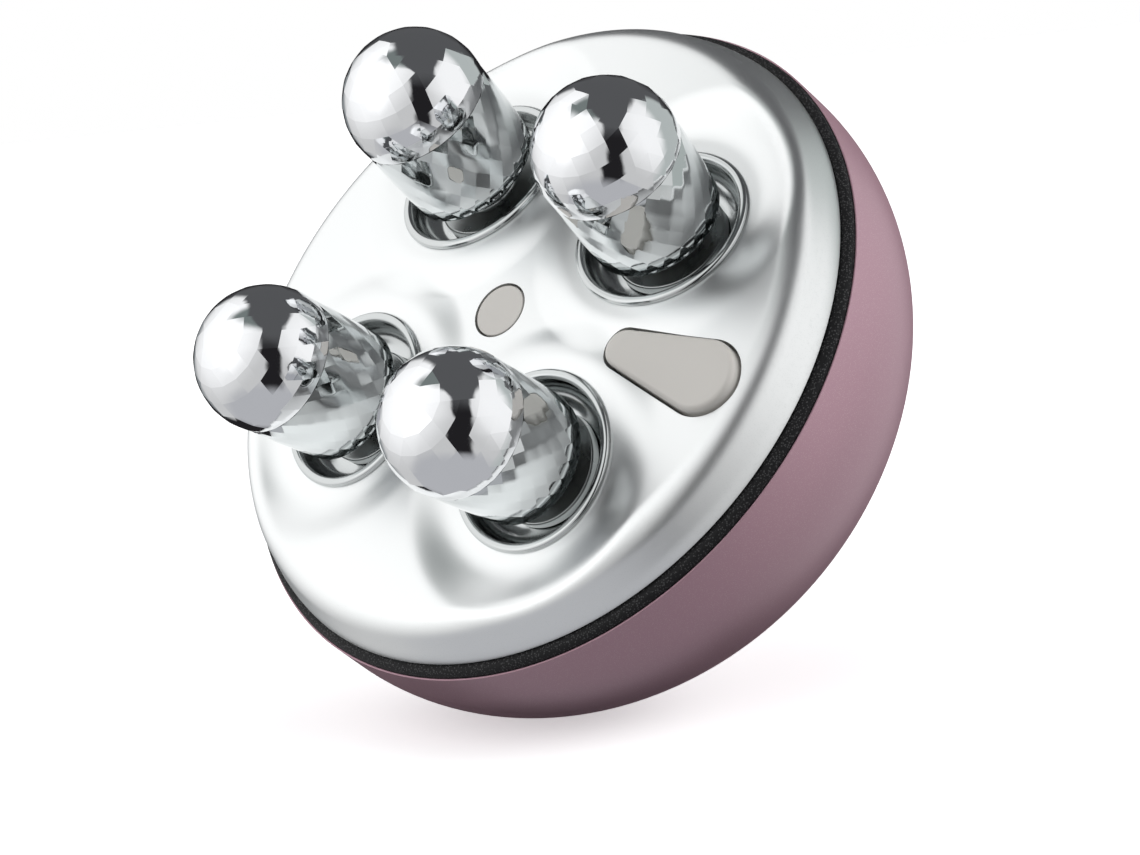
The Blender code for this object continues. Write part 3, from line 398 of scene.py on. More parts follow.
# %% Finishes that are seen from outside
PINK_SATIN = Finish("pink_satin_metal", colour=(0.50, 0.300, 0.362), roughness=0.36, metallic=0.35,
                    cloud=45, grain=9000, dots=5200, dot_size=0.24, dot_colour=(0.60, 0.42, 0.47),
                    tint=0.03, rough_swing=0.03, bump=0.000003)
BLACK_BAND = Finish("black_speckled_rubber", colour=(0.007, 0.007, 0.008), roughness=0.70, metallic=0.0,
                    grain=3600, dots=3400, dot_size=0.34, dot_colour=(0.06, 0.06, 0.062),
                    tint=0.2, bump=0.00006, specular=0.3)
SILVER_SATIN = Finish("silver_satin_plating", colour=(0.83, 0.845, 0.845), roughness=0.35, metallic=1.0,
                      cloud=40, grain=7000, dots=4200, tint=0.012, rough_swing=0.02, bump=0.0000012)
SEAL_GREY = Finish("seal_grey_satin", colour=(0.40, 0.42, 0.42), roughness=0.28, metallic=1.0,
                   cloud=200, grain=5000, tint=0.05, bump=0.000003)
CUP_SILVER = Finish("cup_polished_silver", colour=(0.56, 0.58, 0.58), roughness=0.14, metallic=1.0,
                    cloud=150, grain=6000, tint=0.012, rough_swing=0.02, bump=0.0000012)
CHROME = Finish("bright_chrome", colour=(0.80, 0.81, 0.825), roughness=0.045, metallic=1.0,
                cloud=260, grain=2500, tint=0.015, rough_swing=0.02, bump=0.0000010)
BODY_CHROME = Finish("diamond_cut_chrome", colour=(0.68, 0.705, 0.710), roughness=0.045, metallic=1.0,
                     cloud=260, grain=2500, tint=0.015, rough_swing=0.02, bump=0.0000010)
WARM_GREY = Finish("warm_grey_gloss", colour=(0.73, 0.705, 0.665), roughness=0.36, metallic=0.0,
                   cloud=300, grain=6000, tint=0.006, rough_swing=0.015, bump=0.000002)
GOLD = Finish("gold_plating", colour=(0.82, 0.60, 0.24), roughness=0.22, metallic=1.0,
              cloud=700, grain=5000, tint=0.05, bump=0.000002)

# %% Finishes of what is inside
WHITE_MOULDING = Finish("white_moulding", colour=(0.70, 0.70, 0.68), roughness=0.50, metallic=0.0,
                        cloud=90, grain=5000, tint=0.02, bump=0.000006)
BLACK_PLASTIC = Finish("black_component_plastic", colour=(0.022, 0.022, 0.024), roughness=0.42, metallic=0.0,
                       cloud=400, grain=7000, tint=0.15, bump=0.000006)
BOARD_GREEN = Finish("board_green", colour=(0.03, 0.16, 0.08), roughness=0.42, metallic=0.0,
                     cloud=160, grain=5000, dots=420, dot_size=0.12, dot_colour=(0.60, 0.47, 0.20),
                     tint=0.15, bump=0.000006)
STEEL = Finish("ground_steel", colour=(0.56, 0.56, 0.57), roughness=0.28, metallic=1.0,
               cloud=900, grain=9000, tint=0.05, bump=0.000003)
CELL_FOIL = Finish("cell_foil", colour=(0.36, 0.37, 0.39), roughness=0.38, metallic=0.6,
                   cloud=120, grain=1500, tint=0.08, bump=0.00003)

# %% [markdown]
# The photograph shows a fine sparkle on the plate only towards its edge, where the satin turns
# coarser. A distance from the middle axis, taken from Object coordinates, says where.

# %% Sparkle towards the edge of the plate
SPARKLE_START = 0.036
SPARKLE_FULL = 0.045
SPARKLE_DOT_SIZE = 0.26
SPARKLE_ROUGHNESS = 0.30
ACROSS_THE_AXIS = (1, 1, 0)


def add_edge_sparkle(finish):
    """Small rougher dots that grow from the radius where the sparkle starts to the one where it is full."""
    place = finish.nodes.new('ShaderNodeTexCoord')
    flat = finish.nodes.new('ShaderNodeVectorMath')
    flat.operation = 'MULTIPLY'
    flat.inputs[1].default_value = ACROSS_THE_AXIS
    finish.link(place.outputs["Object"], flat.inputs[0])
    radius = finish.nodes.new('ShaderNodeVectorMath')
    radius.operation = 'LENGTH'
    finish.link(flat.outputs[0], radius.inputs[0])
    ramp = finish.between(radius.outputs["Value"], SPARKLE_START, SPARKLE_FULL)
    size = finish.calculate('MULTIPLY', ramp, SPARKLE_DOT_SIZE)
    finish.link(size, finish.fine.inputs["Dot Size"])
    rougher = finish.calculate('MULTIPLY', finish.fine.outputs["Dots"], SPARKLE_ROUGHNESS)
    finish.link(finish.calculate('ADD', finish.rough, rougher), finish.shader.inputs["Roughness"])


add_edge_sparkle(SILVER_SATIN)


# %% Give a CAD node or a new piece its finish
def paint(thing, finish):
    """Puts a finish in every slot of an object."""
    if not thing.data.materials:
        thing.data.materials.append(finish.material)
    for slot in thing.material_slots:
        slot.material = finish.material


def dress(piece, body, finish, slot, *nodes):
    """A new piece rides on its body, stands for its nodes and takes its finish."""
    paint(piece, finish)
    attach(piece, body)
    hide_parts(*nodes)


# %% [markdown]
# ## The casing
# The dome is a quarter ellipse turned round the middle axis, with a short belt above it and a
# small flat foot. The inside follows it at the wall's thickness and has the groove into which the
# inner frame snaps. A lip a quarter of a millimetre thick stands up round the foot of the band. It is
# too thin for the solid, but it is the fine light line that the photograph shows under the black.

# %% Draw the dome
DOME_STEPS = 192
OUTSIDE_ROWS = 72
INSIDE_ROWS = 32
BEAD_PROUD = 0.0006
BEAD_DROP = 0.0024
BEAD_HEIGHT = 0.0012
CASING_LIP = 0.00026
CASING_LIP_RISE = 0.0015
CASING_LIP_ROUND = 0.0001
FOOT_FLAT_SHARE = 0.95


def dome_line(radius, depth, lowest, count):
    """Quarter ellipse from the belt down to a height: r = a cos t, z = belt - b sin t."""
    last = math.asin(min(1, (BELT_Z - lowest) / depth))
    t = np.linspace(0, last, count)
    return np.stack([radius * np.cos(t), BELT_Z - depth * np.sin(t)], -1)


def casing_profile():
    """From the middle of the inside, up through the groove, over the rim and down to the foot."""
    inner = DOME_RADIUS - SHELL_WALL
    groove = inner + BEAD_PROUD
    groove_top = RIM_Z - BEAD_DROP + FIT
    groove_bottom = RIM_Z - BEAD_DROP - BEAD_HEIGHT - FIT
    lip_inner = DOME_RADIUS - CASING_LIP
    lip_top = RIM_Z + CASING_LIP_RISE
    rim = filleted([(inner, RIM_Z - BEAD_DROP), (inner, RIM_Z), (lip_inner, RIM_Z), (lip_inner, lip_top),
                    (DOME_RADIUS, lip_top), (DOME_RADIUS, BELT_Z)],
                   [0, RIM_ROUND, CASING_LIP_ROUND, CASING_LIP_ROUND, CASING_LIP_ROUND, 0])
    outside = dome_line(DOME_RADIUS, DOME_DEPTH, 0, OUTSIDE_ROWS)
    inside = dome_line(inner, DOME_DEPTH - SHELL_WALL, SHELL_WALL, INSIDE_ROWS)[::-1]
    groove_line = [(inner, groove_bottom), (groove, groove_bottom), (groove, groove_top), (inner, groove_top)]
    foot = [(FOOT_RADIUS * FOOT_FLAT_SHARE, 0), (0, 0)]
    return np.concatenate([[(0, SHELL_WALL)], inside, groove_line, rim[1:-1], outside, foot])


# %% Build the casing with its bosses and the holes of the contacts
BOSS_X = 0.0220
BOSS_RADIUS = 0.0032
BOSS_BOTTOM = 0.0055
BOSS_TOP = 0.0120
PEG_RADIUS = 0.0014
PEG_HEIGHT = 0.0030
PEG_STEPS = 32
CONTACT_X = 0.0036
CONTACT_RADIUS = 0.0014
CONTACT_HOLE_TOP = 0.0035
CONTACT_STEPS = 48


def casing():
    """The turned dome, two bosses with pegs inside it, and a hole for each contact."""
    shell = turned_piece("dome_casing", casing_profile(), DOME_STEPS)
    for x in (-BOSS_X, BOSS_X):
        combine(shell, rod(BOSS_RADIUS, BOSS_BOTTOM, BOSS_TOP, x), 'UNION')
        peg = rod(PEG_RADIUS, BOSS_TOP - OVERLAP, BOSS_TOP + PEG_HEIGHT, x, steps=PEG_STEPS)
        combine(shell, peg, 'UNION')
    for x in (-CONTACT_X, CONTACT_X):
        hole = rod(CONTACT_RADIUS + FIT, -OVERLAP, CONTACT_HOLE_TOP, x, steps=CONTACT_STEPS)
        combine(shell, hole, 'DIFFERENCE')
    shade(shell.data)
    return shell


dress(casing(), "housing", PINK_SATIN, "pink_satin", "bottom_shell")

# %% [markdown]
# ## The soft band
# A speckled rubber band is clamped between the casing and the plate. Its outer edges are so round
# that little of the face stays flat, which leaves the dark line that the photograph shows above it.

# %% Build the band
BAND_INNER_ROUND = 0.0003
BAND_LOWER_ROUND = 0.0007
BAND_UPPER_ROUND = 0.0009
BAND_FILLET_POINTS = 7


def soft_band():
    """A ring whose four edges are filleted, the upper outer one most."""
    outer = DOME_RADIUS - BAND_SETBACK
    inner = outer - BAND_WIDTH
    top = BAND_Z + BAND_HEIGHT
    corners = [(inner, BAND_Z), (outer, BAND_Z), (outer, top), (inner, top)]
    radii = [BAND_INNER_ROUND, BAND_LOWER_ROUND, BAND_UPPER_ROUND, BAND_INNER_ROUND]
    ring = filleted(corners, radii, BAND_FILLET_POINTS, closed=True)
    return turned_piece("soft_band", ring, DOME_STEPS, close_rows=True, sharp_deg=SOFT_SHARP_DEG)


dress(soft_band(), "housing", BLACK_BAND, "black_rubber", "band_gasket")

# %% [markdown]
# ## Where the rollers stand
# Each roller leans outwards with the cup it stands in. A matrix per station turns local Z into
# the roller's axis and puts its origin in the middle of the cup's rim.

# %% The four stations
CORNERS = [(-1, 1), (1, 1), (-1, -1), (1, -1)]
SPLAY_X_DEG = 3.6
SPLAY_Y_DEG = 9.1
SPLAY_X = math.tan(math.radians(SPLAY_X_DEG))
SPLAY_Y = math.tan(math.radians(SPLAY_Y_DEG))


def station(side_x, side_y):
    """The turn that carries Z onto the axis, and the shift to the rim of the cup."""
    axis = Vector((side_x * SPLAY_X, side_y * SPLAY_Y, 1)).normalized()
    turn = Vector((0, 0, 1)).rotation_difference(axis).to_matrix().to_4x4()
    return Matrix.Translation((side_x * CUP_X, side_y * CUP_Y, CUP_RIM_Z)) @ turn


STATIONS = [station(x, y) for x, y in CORNERS]
print("stations:", [in_mm(matrix.translation) for matrix in STATIONS])

# %% [markdown]
# ## The face plate
# The plate is one pressed surface: a flat-topped cap with a rounded shoulder, drawn up or down
# into a leaning seat round each cup. A height over a polar grid describes it: the cap's height,
# plus for each seat the height of its plane less the cap's, faded out with a smooth step. That
# raises a swell on the side where the seat stands above the cap and sinks a dish on the other.
#
# The underside follows the solid's superellipse. The upper side is drawn a little crisper, within
# 0.9 mm of it: a crowned top, a tight shoulder and a flank that leans outwards, because that puts
# the dark line along the shoulder where the photograph has it.

# %% Draw a surface into the seats
SEAT_FLAT = 0.0004
SEAT_SPREAD = 0.0064
LEAN_SPREAD = 0.0030


def smooth_step(value, start, end):
    """0 before start, 1 after end, and 3 t^2 - 2 t^3 between."""
    t = np.clip((value - start) / (end - start), 0, 1)
    return t * t * (3 - 2 * t)


def drawn_into_seats(points, seat_u):
    """Moves each point's height towards a seat's plane; the seat fades out further where it leans down."""
    shaped = points.copy()
    for matrix in STATIONS:
        axis = np.array(matrix.col[2][:3])
        middle = np.array(matrix.translation) + axis * seat_u
        away = points - middle
        plane = middle[2] - (away[..., 0] * axis[0] + away[..., 1] * axis[1]) / axis[2]
        along = away @ axis
        reach = np.sqrt(np.maximum((away ** 2).sum(-1) - along ** 2, 0))
        lean = axis[:2] / np.linalg.norm(axis[:2])
        side = away[..., :2] @ lean / np.maximum(np.linalg.norm(away[..., :2], axis=-1), MERGE)
        spread = SEAT_SPREAD + LEAN_SPREAD * np.clip(side, 0, 1) ** 2
        near = 1 - smooth_step(reach, SEAT_RADIUS + SEAT_FLAT, SEAT_RADIUS + spread)
        shaped[..., 2] += near * (plane - points[..., 2])
    return shaped


# %% Lines of the plate's underside and upper side
CURVE_POINTS = 4000
TOP_CROWN = 0.00247
TOP_RISE = PLATE_RISE + PLATE_CROWN - TOP_CROWN
SHOULDER_INSET = 0.0022
SHOULDER_ROUND = 0.0035
SHOULDER_POINTS = 40
FLANK_INSET = 0.0002
FLANK_BREAK = 0.0012
FLANK_ROUND = 0.0080


def cap_line(radius, rise, hole, count):
    """Superellipse r = R cos^(2/n) t, z = h sin^(2/n) t, plus a low crown, from a hole to the edge."""
    first = math.acos((hole / radius) ** (PLATE_POWER / 2))
    t = np.linspace(first, 0, CURVE_POINTS)
    r = radius * np.cos(t) ** (2 / PLATE_POWER)
    z = EDGE_Z + rise * np.sin(t) ** (2 / PLATE_POWER) + PLATE_CROWN * (1 - (r / radius) ** 2)
    return spread_evenly(np.stack([r, z], -1), count)


def shouldered_line(hole, count):
    """Flat top, leaning flank and upright edge, corners filleted, plus a crown c (1 - (r / R)^2)."""
    corners = [(hole, TOP_RISE), (PLATE_RADIUS - SHOULDER_INSET, TOP_RISE),
               (PLATE_RADIUS - FLANK_INSET, FLANK_BREAK), (PLATE_RADIUS, 0)]
    line = spread_evenly(filleted(corners, [0, SHOULDER_ROUND, FLANK_ROUND, 0], SHOULDER_POINTS), count)
    crown = EDGE_Z + TOP_CROWN * (1 - (line[:, 0] / PLATE_RADIUS) ** 2)
    return line + np.stack([np.zeros(count), crown], -1)


# %% Build the plate
LENS_HOLE = 0.0039
PLATE_STEPS = 320
TOP_ROWS = 140
UNDER_ROWS = 40


def plate_surface():
    """The upper side and the underside as one closed grid, round the hole of the lens."""
    top = drawn_into_seats(turned(shouldered_line(LENS_HOLE, TOP_ROWS), PLATE_STEPS), SEAT_U)
    under_line = cap_line(PLATE_RADIUS - PLATE_WALL, PLATE_RISE - PLATE_WALL, LENS_HOLE, UNDER_ROWS)
    under = drawn_into_seats(turned(under_line, PLATE_STEPS), SEAT_U - PLATE_WALL)
    points = np.concatenate([top, under[::-1]])
    return mesh_piece("satin_plate", points, grid_faces(len(points), PLATE_STEPS, close_rows=True))


plate = plate_surface()

# %% [markdown]
# ## The teardrop
# The button's outline is a large and a small circle with their two tangents. Grown outwards by a
# gap it is also the opening in the plate, and shrunk in steps it gives the rings of the button.

# %% The teardrop's outline at any offset
END_X = 0.036426
TIP_X = 0.023526
END_RADIUS = 0.0049
TIP_RADIUS = 0.0026
ARC_POINTS = 40
SIDE_POINTS = 24


def teardrop(extra=0.0, end_radius=END_RADIUS, tip_radius=TIP_RADIUS):
    """Arc of the big circle, tangent, arc of the small circle, tangent, as (n, 2) points."""
    lean = math.asin((END_RADIUS - TIP_RADIUS) / (END_X - TIP_X))
    contact = math.pi / 2 + lean
    big = np.linspace(-contact, contact, ARC_POINTS)
    small = np.linspace(contact, 2 * math.pi - contact, ARC_POINTS)
    end = np.stack([END_X + (end_radius + extra) * np.cos(big), (end_radius + extra) * np.sin(big)], -1)
    tip = np.stack([TIP_X + (tip_radius + extra) * np.cos(small), (tip_radius + extra) * np.sin(small)], -1)
    share = np.linspace(0, 1, SIDE_POINTS + 2)[1:-1, None]
    there = end[-1] * (1 - share) + tip[0] * share
    back = tip[-1] * (1 - share) + end[0] * share
    return np.concatenate([end, there, tip, back])


def teardrop_spine():
    """The same points drawn together on the line between the two circles' middles."""
    return teardrop(0.0, 0.0, 0.0)


def lifted(outline, height):
    """An outline's points at a height, which is a number or a function of x."""
    z = height(outline[:, 0]) if callable(height) else np.broadcast_to(height, len(outline))
    return np.column_stack([outline, z])


def teardrop_rod(extra, bottom, top):
    """An upright teardrop prism whose top is a height or a function of x, closed along its spine."""
    outline = teardrop(extra)
    spine = teardrop_spine()
    rows = [lifted(spine, bottom), lifted(outline, bottom), lifted(outline, top), lifted(spine, top)]
    return mesh_piece("teardrop_rod", np.array(rows), grid_faces(len(rows), len(spine)))


def plate_height(x):
    """Height of the cap on the middle line: superellipse plus crown."""
    share = x / PLATE_RADIUS
    cap = PLATE_RISE * (1 - share ** PLATE_POWER) ** (1 / PLATE_POWER)
    return EDGE_Z + cap + PLATE_CROWN * (1 - share ** 2)


# %% [markdown]
# Under the plate a collar guides the button, and four posts with pilot holes take the screws. They
# come first, and then the openings for the button and the cups are cut through everything.

# %% Open the plate for the button and the cups, and add what holds it from below
BUTTON_GAP = 0.0004
BUTTON_CUTTER_TOP = 0.0150
COLLAR_WALL = 0.0012
COLLAR_BOTTOM = 0.046246
COLLAR_DEPTH_SHARE = 0.6
COLLAR_FALL = 0.0010
COLLAR_FALL_START = 0.036
COLLAR_FALL_END = 0.043
POST_X = 0.034074
POST_Y = 0.0140
POST_RADIUS = 0.0026
POST_DROP = 0.0009
POST_COVER = 0.0016
PILOT_RADIUS = 0.0011
PILOT_DROP = 0.0020
PILOT_TOP = 0.0036
PILOT_STEPS = 32
CUP_CUTTER_REACH = 0.0120
CUP_CUTTER_STEPS = 160


def collar_top(x):
    """Inside the plate's wall, lower towards the shoulder."""
    fall = COLLAR_FALL * smooth_step(x, COLLAR_FALL_START, COLLAR_FALL_END)
    return plate_height(x) - PLATE_WALL * COLLAR_DEPTH_SHARE - fall


def add_post(target, x, y):
    """A post from below the plate's edge into its wall, with a pilot hole from below."""
    post = rod(POST_RADIUS, EDGE_Z - POST_DROP, EDGE_Z + PLATE_RISE - POST_COVER, x, y)
    combine(target, post, 'UNION')
    pilot = rod(PILOT_RADIUS, EDGE_Z - PILOT_DROP, EDGE_Z + PILOT_TOP, x, y, PILOT_STEPS)
    combine(target, pilot, 'DIFFERENCE')


combine(plate, teardrop_rod(BUTTON_GAP + COLLAR_WALL, COLLAR_BOTTOM, collar_top), 'UNION')
for side_x, side_y in CORNERS:
    add_post(plate, side_x * POST_X, side_y * POST_Y)
combine(plate, teardrop_rod(BUTTON_GAP, EDGE_Z - OVERLAP, EDGE_Z + BUTTON_CUTTER_TOP), 'DIFFERENCE')
for matrix in STATIONS:
    cutter = rod(CUP_OUTER + FIT, -CUP_CUTTER_REACH, CUP_CUTTER_REACH, steps=CUP_CUTTER_STEPS, place=matrix)
    combine(plate, cutter, 'DIFFERENCE')
shade(plate.data)
dress(plate, "housing", SILVER_SATIN, "silver_satin", "face_plate")

# %% [markdown]
# ## The cups and their seals
# A cup is spun from thin plate: a rolled lip, a plain wall and a floor with a hole that fits round
# the frame's boss. The seal in it has a rounded rim and a hub that the axle passes through.

# %% Build the four cups and seals
LIP_ROUND = 0.00055
LIP_HEEL_ROUND = 0.00005
LIP_UNDER_GAP = 0.00004
CUP_HEEL_ROUND = 0.0003
CUP_HOLE_ROUND = 0.0001
CUP_FILLET_POINTS = 12
CUP_STEPS = 128
SEAL_THICKNESS = 0.0014
SEAL_HUB_WALL = 0.0016
SEAL_RIM_ROUND = 0.0003
SEAL_FOOT_ROUND = 0.0001
HUB_INNER_ROUND = 0.0002
HUB_OUTER_ROUND = 0.0003
HUB_HEEL_ROUND = 0.0006
SEAL_STEPS = 96


def spun_cup(number, matrix):
    """A cup with a rolled lip and a hole for the frame's boss."""
    bottom = -CUP_DEPTH - CUP_FLOOR
    lip_under = SEAT_U + LIP_UNDER_GAP
    corners = [(CUP_RADIUS, 0), (LIP_OUTER, 0), (LIP_OUTER, lip_under), (CUP_OUTER, lip_under),
               (CUP_OUTER, bottom), (BOSS_HOLE, bottom), (BOSS_HOLE, -CUP_DEPTH), (CUP_RADIUS, -CUP_DEPTH)]
    radii = [LIP_ROUND, LIP_ROUND, LIP_HEEL_ROUND, 0, CUP_HEEL_ROUND, CUP_HOLE_ROUND,
             CUP_HOLE_ROUND, CUP_ROUND]
    ring = filleted(corners, radii, CUP_FILLET_POINTS, closed=True)
    name = "spun_cup_%d" % number
    return turned_piece(name, ring, CUP_STEPS, matrix, close_rows=True, sharp_deg=SOFT_SHARP_DEG)


def rubber_seal(number, matrix):
    """A flat ring on the cup's floor, with a hub round the axle."""
    bottom = -CUP_DEPTH + FIT
    top = bottom + SEAL_THICKNESS
    hub = AXLE_BORE + SEAL_HUB_WALL
    hub_top = BASE_HEIGHT - 2 * FIT
    corners = [(AXLE_BORE, hub_top), (hub, hub_top), (hub, top), (SEAL_RADIUS, top), (SEAL_RADIUS, bottom),
               (AXLE_BORE, bottom)]
    radii = [HUB_INNER_ROUND, HUB_OUTER_ROUND, HUB_HEEL_ROUND, SEAL_RIM_ROUND,
             SEAL_FOOT_ROUND, SEAL_FOOT_ROUND]
    ring = filleted(corners, radii, closed=True)
    name = "rubber_seal_%d" % number
    return turned_piece(name, ring, SEAL_STEPS, matrix, close_rows=True, sharp_deg=SOFT_SHARP_DEG)


for number, matrix in enumerate(STATIONS, 1):
    dress(spun_cup(number, matrix), "housing", CUP_SILVER, "chrome", "roller_cup_%d" % number)
    dress(rubber_seal(number, matrix), "housing", SEAL_GREY, "black_rubber", "cup_seal_%d" % number)

# %% [markdown]
# ## The diamond-cut bodies
# A roller's body is cut in rows of diamonds. Points stand in rings round the taper, each ring half
# a step on from the next, and a diamond spans the ring below, its own and the one above. Its four
# corners aren't in one plane, so each diamond is a bilinear patch, and the edges between patches
# stay crisp. That gives every facet the slightly wavy reflection of a plated moulding.

# %% Corners of the diamonds
PATCH = 5
FACET_BULGE_SHARE = 0.12
FIRST_ROW = BASE_HEIGHT + BASE_CHAMFER
SEAM_GAP_TRIM = 0.00008
BODY_TOP = SEAM_HEIGHT + SEAM_GAP_TRIM


def head_radius(height):
    """The head is a ball, so at a height its outline is sqrt(R^2 - (middle - height)^2)."""
    return math.sqrt(ROLLER_RADIUS ** 2 - (HEAD_HEIGHT - height) ** 2)


SEAM_RADIUS = head_radius(SEAM_HEIGHT)


def taper_radius(share):
    """Radius r = full - (full - base) s^n, with s = 0 at the seam and 1 at the base."""
    return SEAM_RADIUS - (SEAM_RADIUS - BASE_RADIUS) * share ** TAPER_POWER


def body_rings():
    """Rings of corners on the taper from the base to the seam, each turned on by half a step."""
    row = np.arange(FACET_ROWS + 1)
    radius = taper_radius(1 - row / FACET_ROWS)
    height = FIRST_ROW + (BODY_TOP - FIRST_ROW) * row / FACET_ROWS
    angle = 2 * np.pi * (np.arange(FACETS_ROUND)[None, :] + (row % 2)[:, None] / 2) / FACETS_ROUND
    return np.stack([radius[:, None] * np.cos(angle), radius[:, None] * np.sin(angle),
                     np.repeat(height[:, None], FACETS_ROUND, 1)], -1)


def diamond_corners():
    """Bottom, right, top and left corner of each; at both ends a side's middle stands for a tip."""
    rings = body_rings()
    diamonds = []
    for row in range(FACET_ROWS + 1):
        left = rings[row]
        right = np.roll(left, -1, axis=0)
        shift = 0 if row % 2 == 0 else -1
        below = np.roll(rings[row - 1], shift, axis=0) if row > 0 else (left + right) / 2
        above = np.roll(rings[row + 1], shift, axis=0) if row < FACET_ROWS else (left + right) / 2
        diamonds.append(np.stack([below, right, above, left], 1))
    return np.concatenate(diamonds)


# %% Fill the diamonds and close the body round its bore
BUSH_WALL = 0.0017
BUSH_FLANGE_WIDTH = 0.0012
BUSH_FLANGE = 0.0008
CHAMBER_RADIUS = 0.0072
CHAMBER_DEPTH = 0.0012
BASE_DRAFT = 0.0001
BASE_ROUND = 0.0004
BODY_SHARP_DEG = 5


def bilinear(corners, count):
    """Patch points (1-s)(1-t) below + s (1-t) right + s t above + (1-s) t left, on a grid of count + 1."""
    s = np.linspace(0, 1, count + 1)[None, :, None, None]
    t = np.linspace(0, 1, count + 1)[None, None, :, None]
    below, right, above, left = (corners[:, k][:, None, None, :] for k in range(4))
    return (1 - s) * (1 - t) * below + s * (1 - t) * right + s * t * above + (1 - s) * t * left


def patch_faces(patches, count):
    """Quads of every patch, with (count + 1) squared points each."""
    side = count + 1
    s, t = np.meshgrid(np.arange(count), np.arange(count), indexing='ij')
    first = (s * side + t).ravel()
    quad = np.stack([first, first + side, first + side + 1, first + 1], -1)
    return (np.arange(patches)[:, None, None] * side * side + quad[None]).reshape(-1, 4)


def gathered(surfaces):
    """Several (points, faces) as one list of points and one of faces, with the indices moved on."""
    points = [np.asarray(p).reshape(-1, 3) for p, _ in surfaces]
    starts = np.cumsum([0] + [len(p) for p in points[:-1]])
    faces = [face for (_, f), first in zip(surfaces, starts) for face in (np.asarray(f) + first).tolist()]
    return np.concatenate(points), faces


def divided_ring(ring, count):
    """A closed ring of points with each side divided into equal parts."""
    share = (np.arange(count) / count)[None, :, None]
    return (ring[:, None] * (1 - share) + np.roll(ring, -1, axis=0)[:, None] * share).reshape(-1, 3)


def rings_at(angle, rows):
    """Circles of the given (radius, height) whose points stand at the given angles."""
    rows = np.asarray(rows, float)
    return np.stack([rows[:, :1] * np.cos(angle), rows[:, :1] * np.sin(angle),
                     np.repeat(rows[:, 1:], len(angle), 1)], -1)


def pillowed(points):
    """Moves points of the facets out towards the round taper by a share of the way."""
    wanted = taper_radius(np.clip((SEAM_HEIGHT - points[..., 2]) / (SEAM_HEIGHT - FIRST_ROW), 0, 1))
    now = np.linalg.norm(points[..., :2], axis=-1)
    grown = points.copy()
    grown[..., :2] *= (1 + FACET_BULGE_SHARE * (wanted / now - 1))[..., None]
    return grown


def body_inside():
    """From the rounded base up the bore, past the recesses of both bushes, to the chamber under the cap."""
    bore = AXLE_BORE + BUSH_WALL + FIT
    recess = AXLE_BORE + BUSH_WALL + BUSH_FLANGE_WIDTH + FIT
    lower = BASE_HEIGHT + BUSH_FLANGE
    chamber = SEAM_HEIGHT - CHAMBER_DEPTH
    upper = chamber - BUSH_FLANGE - FIT
    corners = [(BASE_RADIUS, FIRST_ROW), (BASE_RADIUS - BASE_DRAFT, BASE_HEIGHT), (recess, BASE_HEIGHT)]
    base = filleted(corners, [0, BASE_ROUND, 0])[1:-1]
    inside = [(recess, BASE_HEIGHT), (recess, lower), (bore, lower), (bore, upper), (recess, upper),
              (recess, chamber), (CHAMBER_RADIUS, chamber), (CHAMBER_RADIUS, BODY_TOP)]
    return np.concatenate([base, inside])


def diamond_body(number, matrix):
    """The patches, the inside in rings that start from the lowest facets, and the mouth."""
    rings = body_rings()
    patches = pillowed(bilinear(diamond_corners(), PATCH))
    low = pillowed(divided_ring(rings[0], 2 * PATCH))
    high = pillowed(divided_ring(rings[-1], 2 * PATCH))
    rows = np.concatenate([low[None], rings_at(np.arctan2(low[:, 1], low[:, 0]), body_inside())])
    mouth = np.stack([np.roll(rows[-1], -PATCH, axis=0), high])
    points, faces = gathered([(patches, patch_faces(len(patches), PATCH)),
                              (rows, grid_faces(len(rows), len(low))),
                              (mouth, grid_faces(len(mouth), len(low)))])
    return mesh_piece("diamond_body_%d" % number, moved(points, matrix), faces, BODY_SHARP_DEG)


# %% [markdown]
# ## The heads
# A head is a ball with shallow triangular facets. The facets are the hull of staggered rings of
# points, which get fewer towards the tip. In the photograph their reflections hardly break in the
# bright areas and have toothed borders, so each facet keeps part of the ball's curve: a point of
# the flat facet moves some of the way out to the ball.

# %% Facets of the head
CAP_BULGE_SHARE = 0.62
CAP_BOTTOM = SEAM_HEIGHT + FIT - SEAM_GAP_TRIM
CAP_CROWDING_SHARE = 1.05


def head_points():
    """Staggered rings on the ball, from the seam up: r = R sin p, z = middle + R cos p."""
    lowest = math.acos((CAP_BOTTOM - HEAD_HEIGHT) / ROLLER_RADIUS)
    rings = []
    for row in range(CAP_ROWS):
        polar = lowest * (1 - row / CAP_ROWS)
        count = min(FACETS_ROUND, round(FACETS_ROUND * math.sin(polar) * CAP_CROWDING_SHARE))
        angle = 2 * np.pi * (np.arange(count) + (row % 2) / 2) / count
        circle = (ROLLER_RADIUS * math.sin(polar), HEAD_HEIGHT + ROLLER_RADIUS * math.cos(polar))
        rings.append(rings_at(angle, [circle])[0])
    rings.append(np.array([[0, 0, HEAD_HEIGHT + ROLLER_RADIUS]]))
    return np.concatenate(rings)


def hull_triangles(points):
    """Corner indices of the convex hull, without the flat underside."""
    bm = bmesh.new()
    for index, point in enumerate(points):
        bm.verts.new(point).index = index
    bm.verts.ensure_lookup_table()
    bmesh.ops.convex_hull(bm, input=bm.verts)
    bmesh.ops.triangulate(bm, faces=bm.faces)
    bm.normal_update()
    outer = [face for face in bm.faces if face.calc_center_median().z > CAP_BOTTOM + MERGE]
    found = [[corner.index for corner in face.verts] for face in outer]
    bm.free()
    return np.array(found)


# %% Divide the facets and close the head underneath
SPIGOT_OUTER = 0.0069
SPIGOT_INNER = 0.0059
SPIGOT_LENGTH = 0.0008
ROOF_RADIUS = 0.0030
ROOF_HEIGHT = 0.0045
ROOF_FALL = 0.0015
CAP_SHARP_DEG = 4


